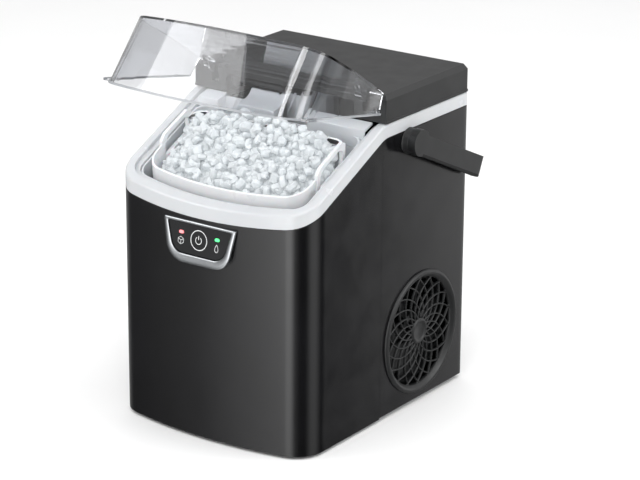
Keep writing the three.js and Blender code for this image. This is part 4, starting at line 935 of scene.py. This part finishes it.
# Each is turned by a random angle about a random axis, with the matrix I + sin(a) K + (1 - cos(a))
# K K, where K is the axis's cross product. Each has its own size, and each corner its own wear.
axis = rng.normal(size=(len(spots), 3))
axis /= np.linalg.norm(axis, axis=1, keepdims=True)
angle = rng.uniform(0, 2 * np.pi, len(spots))
size = rng.uniform(0.78, 1.25, (len(spots), 1, 1, 1))
cross = np.zeros((len(spots), 3, 3))
cross[:, 0, 1], cross[:, 0, 2], cross[:, 1, 2] = -axis[:, 2], axis[:, 1], -axis[:, 0]
cross -= cross.transpose(0, 2, 1)
turned_by = np.eye(3) + np.sin(angle)[:, None, None] * cross
turned_by += (1 - np.cos(angle))[:, None, None] * (cross @ cross)
worn = nugget * rng.uniform(0.7, 1.15, (len(spots), *nugget.shape[:2], 1))
worn[:, [0, -1]] = nugget[[0, -1]]
heap = np.einsum("nij,nrsj->nrsi", turned_by, worn) * size
heap += np.column_stack([spots[:, :2], height])[:, None, None, :]
heap_faces = nugget_faces[None] + (np.arange(len(spots)) * nugget.shape[0] * SIDES)[:, None, None]
ice = made("ice_heap", heap, heap_faces.reshape(-1, 4), frosty_ice, 24)
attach(ice, "basket")

# The nuggets below the surface have frozen together: a lumpy block that fills the basket.
BED_COVER = 3 * MM
BED_MARGIN = 4 * MM
BED_FLOOR_Z = BASKET_LOW.z + 25 * MM
BED_EDGE_Z = BASKET_LOW.z + 30 * MM
LUMP_TALL, LUMP_X, LUMP_Y = 1.5 * MM, 3.1 * MM, 2.7 * MM

bx, by = np.meshgrid(np.linspace(-0.94, 0.94, 60) * HEAP_HALF,
                     np.linspace(HEAP_FRONT + 6 * MM, HEAP_REAR - 5 * MM, 34), indexing="ij")
lumps = LUMP_TALL * np.sin(bx / LUMP_X) * np.sin(by / LUMP_Y)
inside = in_basket(bx, by, BED_MARGIN)
bed_top = np.where(inside, heap_height(bx, by) - BED_COVER + lumps, BED_EDGE_Z)
top_of_bed = np.stack([bx, by, bed_top], -1)
foot_of_bed = np.stack([bx, by, np.full_like(bx, BED_FLOOR_Z)], -1)
rows, columns = bx.shape
upper = skin(rows, columns)
lower = upper[:, ::-1] + rows * columns
rim_of_bed = [(r, 0) for r in range(rows)] + [(rows - 1, c) for c in range(1, columns)]
rim_of_bed += [(r, columns - 1) for r in range(rows - 2, -1, -1)]
rim_of_bed += [(0, c) for c in range(columns - 2, 0, -1)]
loop = np.array([r * columns + c for r, c in rim_of_bed])
after = np.roll(loop, -1)
side_faces = np.column_stack([loop, loop + rows * columns, after + rows * columns, after])
# The block takes the ice's finish, with its small painted glow.
bed = made("ice_bed", np.stack([top_of_bed, foot_of_bed]),
           np.vstack([upper, lower, side_faces]), frosty_ice, 50)
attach(bed, "basket")

# ---- Floor, light and camera -----------------------------------------------------------------
# A plain white sweep, large soft lights at both sides and above, and a long lens. Black screens
# and bright panels stand all round, so that the glossy walls mirror dark and bright bands.

white_sweep = blank("white_sweep")
surfaced(white_sweep, {"Base Color": tinted(white_sweep, 400, "#f4f4f4", "#f7f7f7"),
                       "Roughness": 0.6})
reach = np.linspace(-4, 4, 9)
fx, fy = np.meshgrid(reach, reach, indexing="ij")
floor = made("floor", np.stack([fx, fy, np.zeros_like(fx)], -1), skin(9, 9), white_sweep)
floor.visible_glossy = False

# The sky: bands by direction, an even top, and less light from below. The camera sees it white.
RAMP_WHITE = 4.0      # the number of a band at which the ramp is white
BANDS = [(-180, 0.35), (-142, 0.28), (-112, 0.45), (-80, 0.12), (-62, 0.15), (-38, 0.55),
         (-14, 2.0), (0, 3.6), (12, 3.6), (28, 0.6), (45, 0.02), (68, 0.02), (88, 1.2), (104, 1.2),
         (128, 0.1), (140, 0.0), (146, 0.0), (152, 2.0), (158, 1.8), (172, 0.4), (180, 0.35)]

world = bpy.data.worlds.new("studio")
world.use_nodes = True
world.node_tree.nodes.clear()
seen = add(world, "ShaderNodeLightPath").outputs["Is Camera Ray"]
way = add(world, "ShaderNodeSeparateXYZ",
          {"Vector": add(world, "ShaderNodeTexCoord").outputs["Generated"]})
forward = add(world, "ShaderNodeMath", {0: way.outputs["Y"], 1: -1.0}, operation="MULTIPLY")
around = add(world, "ShaderNodeMath", {0: way.outputs["X"], 1: forward.outputs[0]},
             operation="ARCTAN2")
circle = add(world, "ShaderNodeMapRange", {"Value": around.outputs[0], "From Min": -math.pi,
                                           "From Max": math.pi})
bands = add(world, "ShaderNodeValToRGB", {"Fac": circle.outputs["Result"]})
ramp = bands.color_ramp
while len(ramp.elements) < len(BANDS):
    ramp.elements.new(1.0)
for element, (degrees, bright) in zip(ramp.elements, BANDS):
    element.position = (degrees + 180) / 360
    element.color = (*[bright / RAMP_WHITE] * 3, 1.0)
overhead = add(world, "ShaderNodeMapRange", {"Value": way.outputs["Z"], "From Min": 0.05,
                                             "From Max": 0.8})
sky = add(world, "ShaderNodeMix", {"Factor": overhead.outputs["Result"],
                                   2: bands.outputs["Color"], 3: 0.2}, data_type="FLOAT")
below = add(world, "ShaderNodeMapRange", {"Value": way.outputs["Z"], "From Min": -0.41,
                                          "From Max": -0.32, "To Min": 2.0, "To Max": 4.3})
strong = add(world, "ShaderNodeMath", {0: sky.outputs[0], 1: below.outputs["Result"]},
             operation="MULTIPLY")
level = add(world, "ShaderNodeMix", {"Factor": seen, 2: strong.outputs[0], 3: 1.0},
            data_type="FLOAT")
studio = add(world, "ShaderNodeBackground", {"Color": (1, 1, 1, 1), "Strength": level.outputs[0]})
add(world, "ShaderNodeOutputWorld", {"Surface": studio.outputs[0]})
world.cycles.sampling_method = "NONE"
bpy.context.scene.world = world


def softbox(name, spot, aim, width, height, power):
    """Rectangular light at a spot, turned to face its aim."""
    light = bpy.data.lights.new(name, "AREA")
    light.shape = "RECTANGLE"
    light.size, light.size_y, light.energy = width, height, power
    lamp = bpy.data.objects.new(name, light)
    lamp.location = spot
    lamp.rotation_euler = (Vector(aim) - Vector(spot)).to_track_quat("-Z", "Y").to_euler()
    bpy.context.scene.collection.objects.link(lamp)


softbox("key", (-1.1, -1.0, 1.3), (0, 0, 0.15), 0.9, 0.9, 9)
softbox("side", (1.6, 0.5, 1.2), (0, 0, 0.25), 1.0, 1.0, 15)
softbox("top", (0.1, 0.1, 1.9), (0, 0, 0.2), 1.6, 1.6, 9.5)
softbox("glint", (0.76, -1.17, 1.74), (0, 0, 0.3), 0.6, 0.45, 8)

AZIMUTH, ELEVATION, ROLL = np.radians([35.34, 19.18, 0.384])
DISTANCE = 2475.98 * MM
LENS_RATIO = 4.047125      # focal length over the width of the sensor
AIM = Vector((36.63 * MM, FRONT_Y + 138 * MM, 168.88 * MM))

back = Vector((math.sin(AZIMUTH) * math.cos(ELEVATION), -math.cos(AZIMUTH) * math.cos(ELEVATION),
               math.sin(ELEVATION)))
right = Vector((math.cos(AZIMUTH), math.sin(AZIMUTH), 0))
up = back.cross(right)
rolled_right = math.cos(ROLL) * right + math.sin(ROLL) * up
rolled_up = math.cos(ROLL) * up - math.sin(ROLL) * right
long_lens = bpy.data.cameras.new("long_lens")
long_lens.lens = LENS_RATIO * long_lens.sensor_width
long_lens.clip_end = 20
eye = bpy.data.objects.new("camera", long_lens)
facing = Matrix((rolled_right, rolled_up, back)).transposed().to_4x4()
eye.matrix_world = Matrix.Translation(AIM + back * DISTANCE) @ facing
bpy.context.scene.collection.objects.link(eye)
bpy.context.scene.camera = eye
bpy.context.scene.view_settings.view_transform = "Standard"
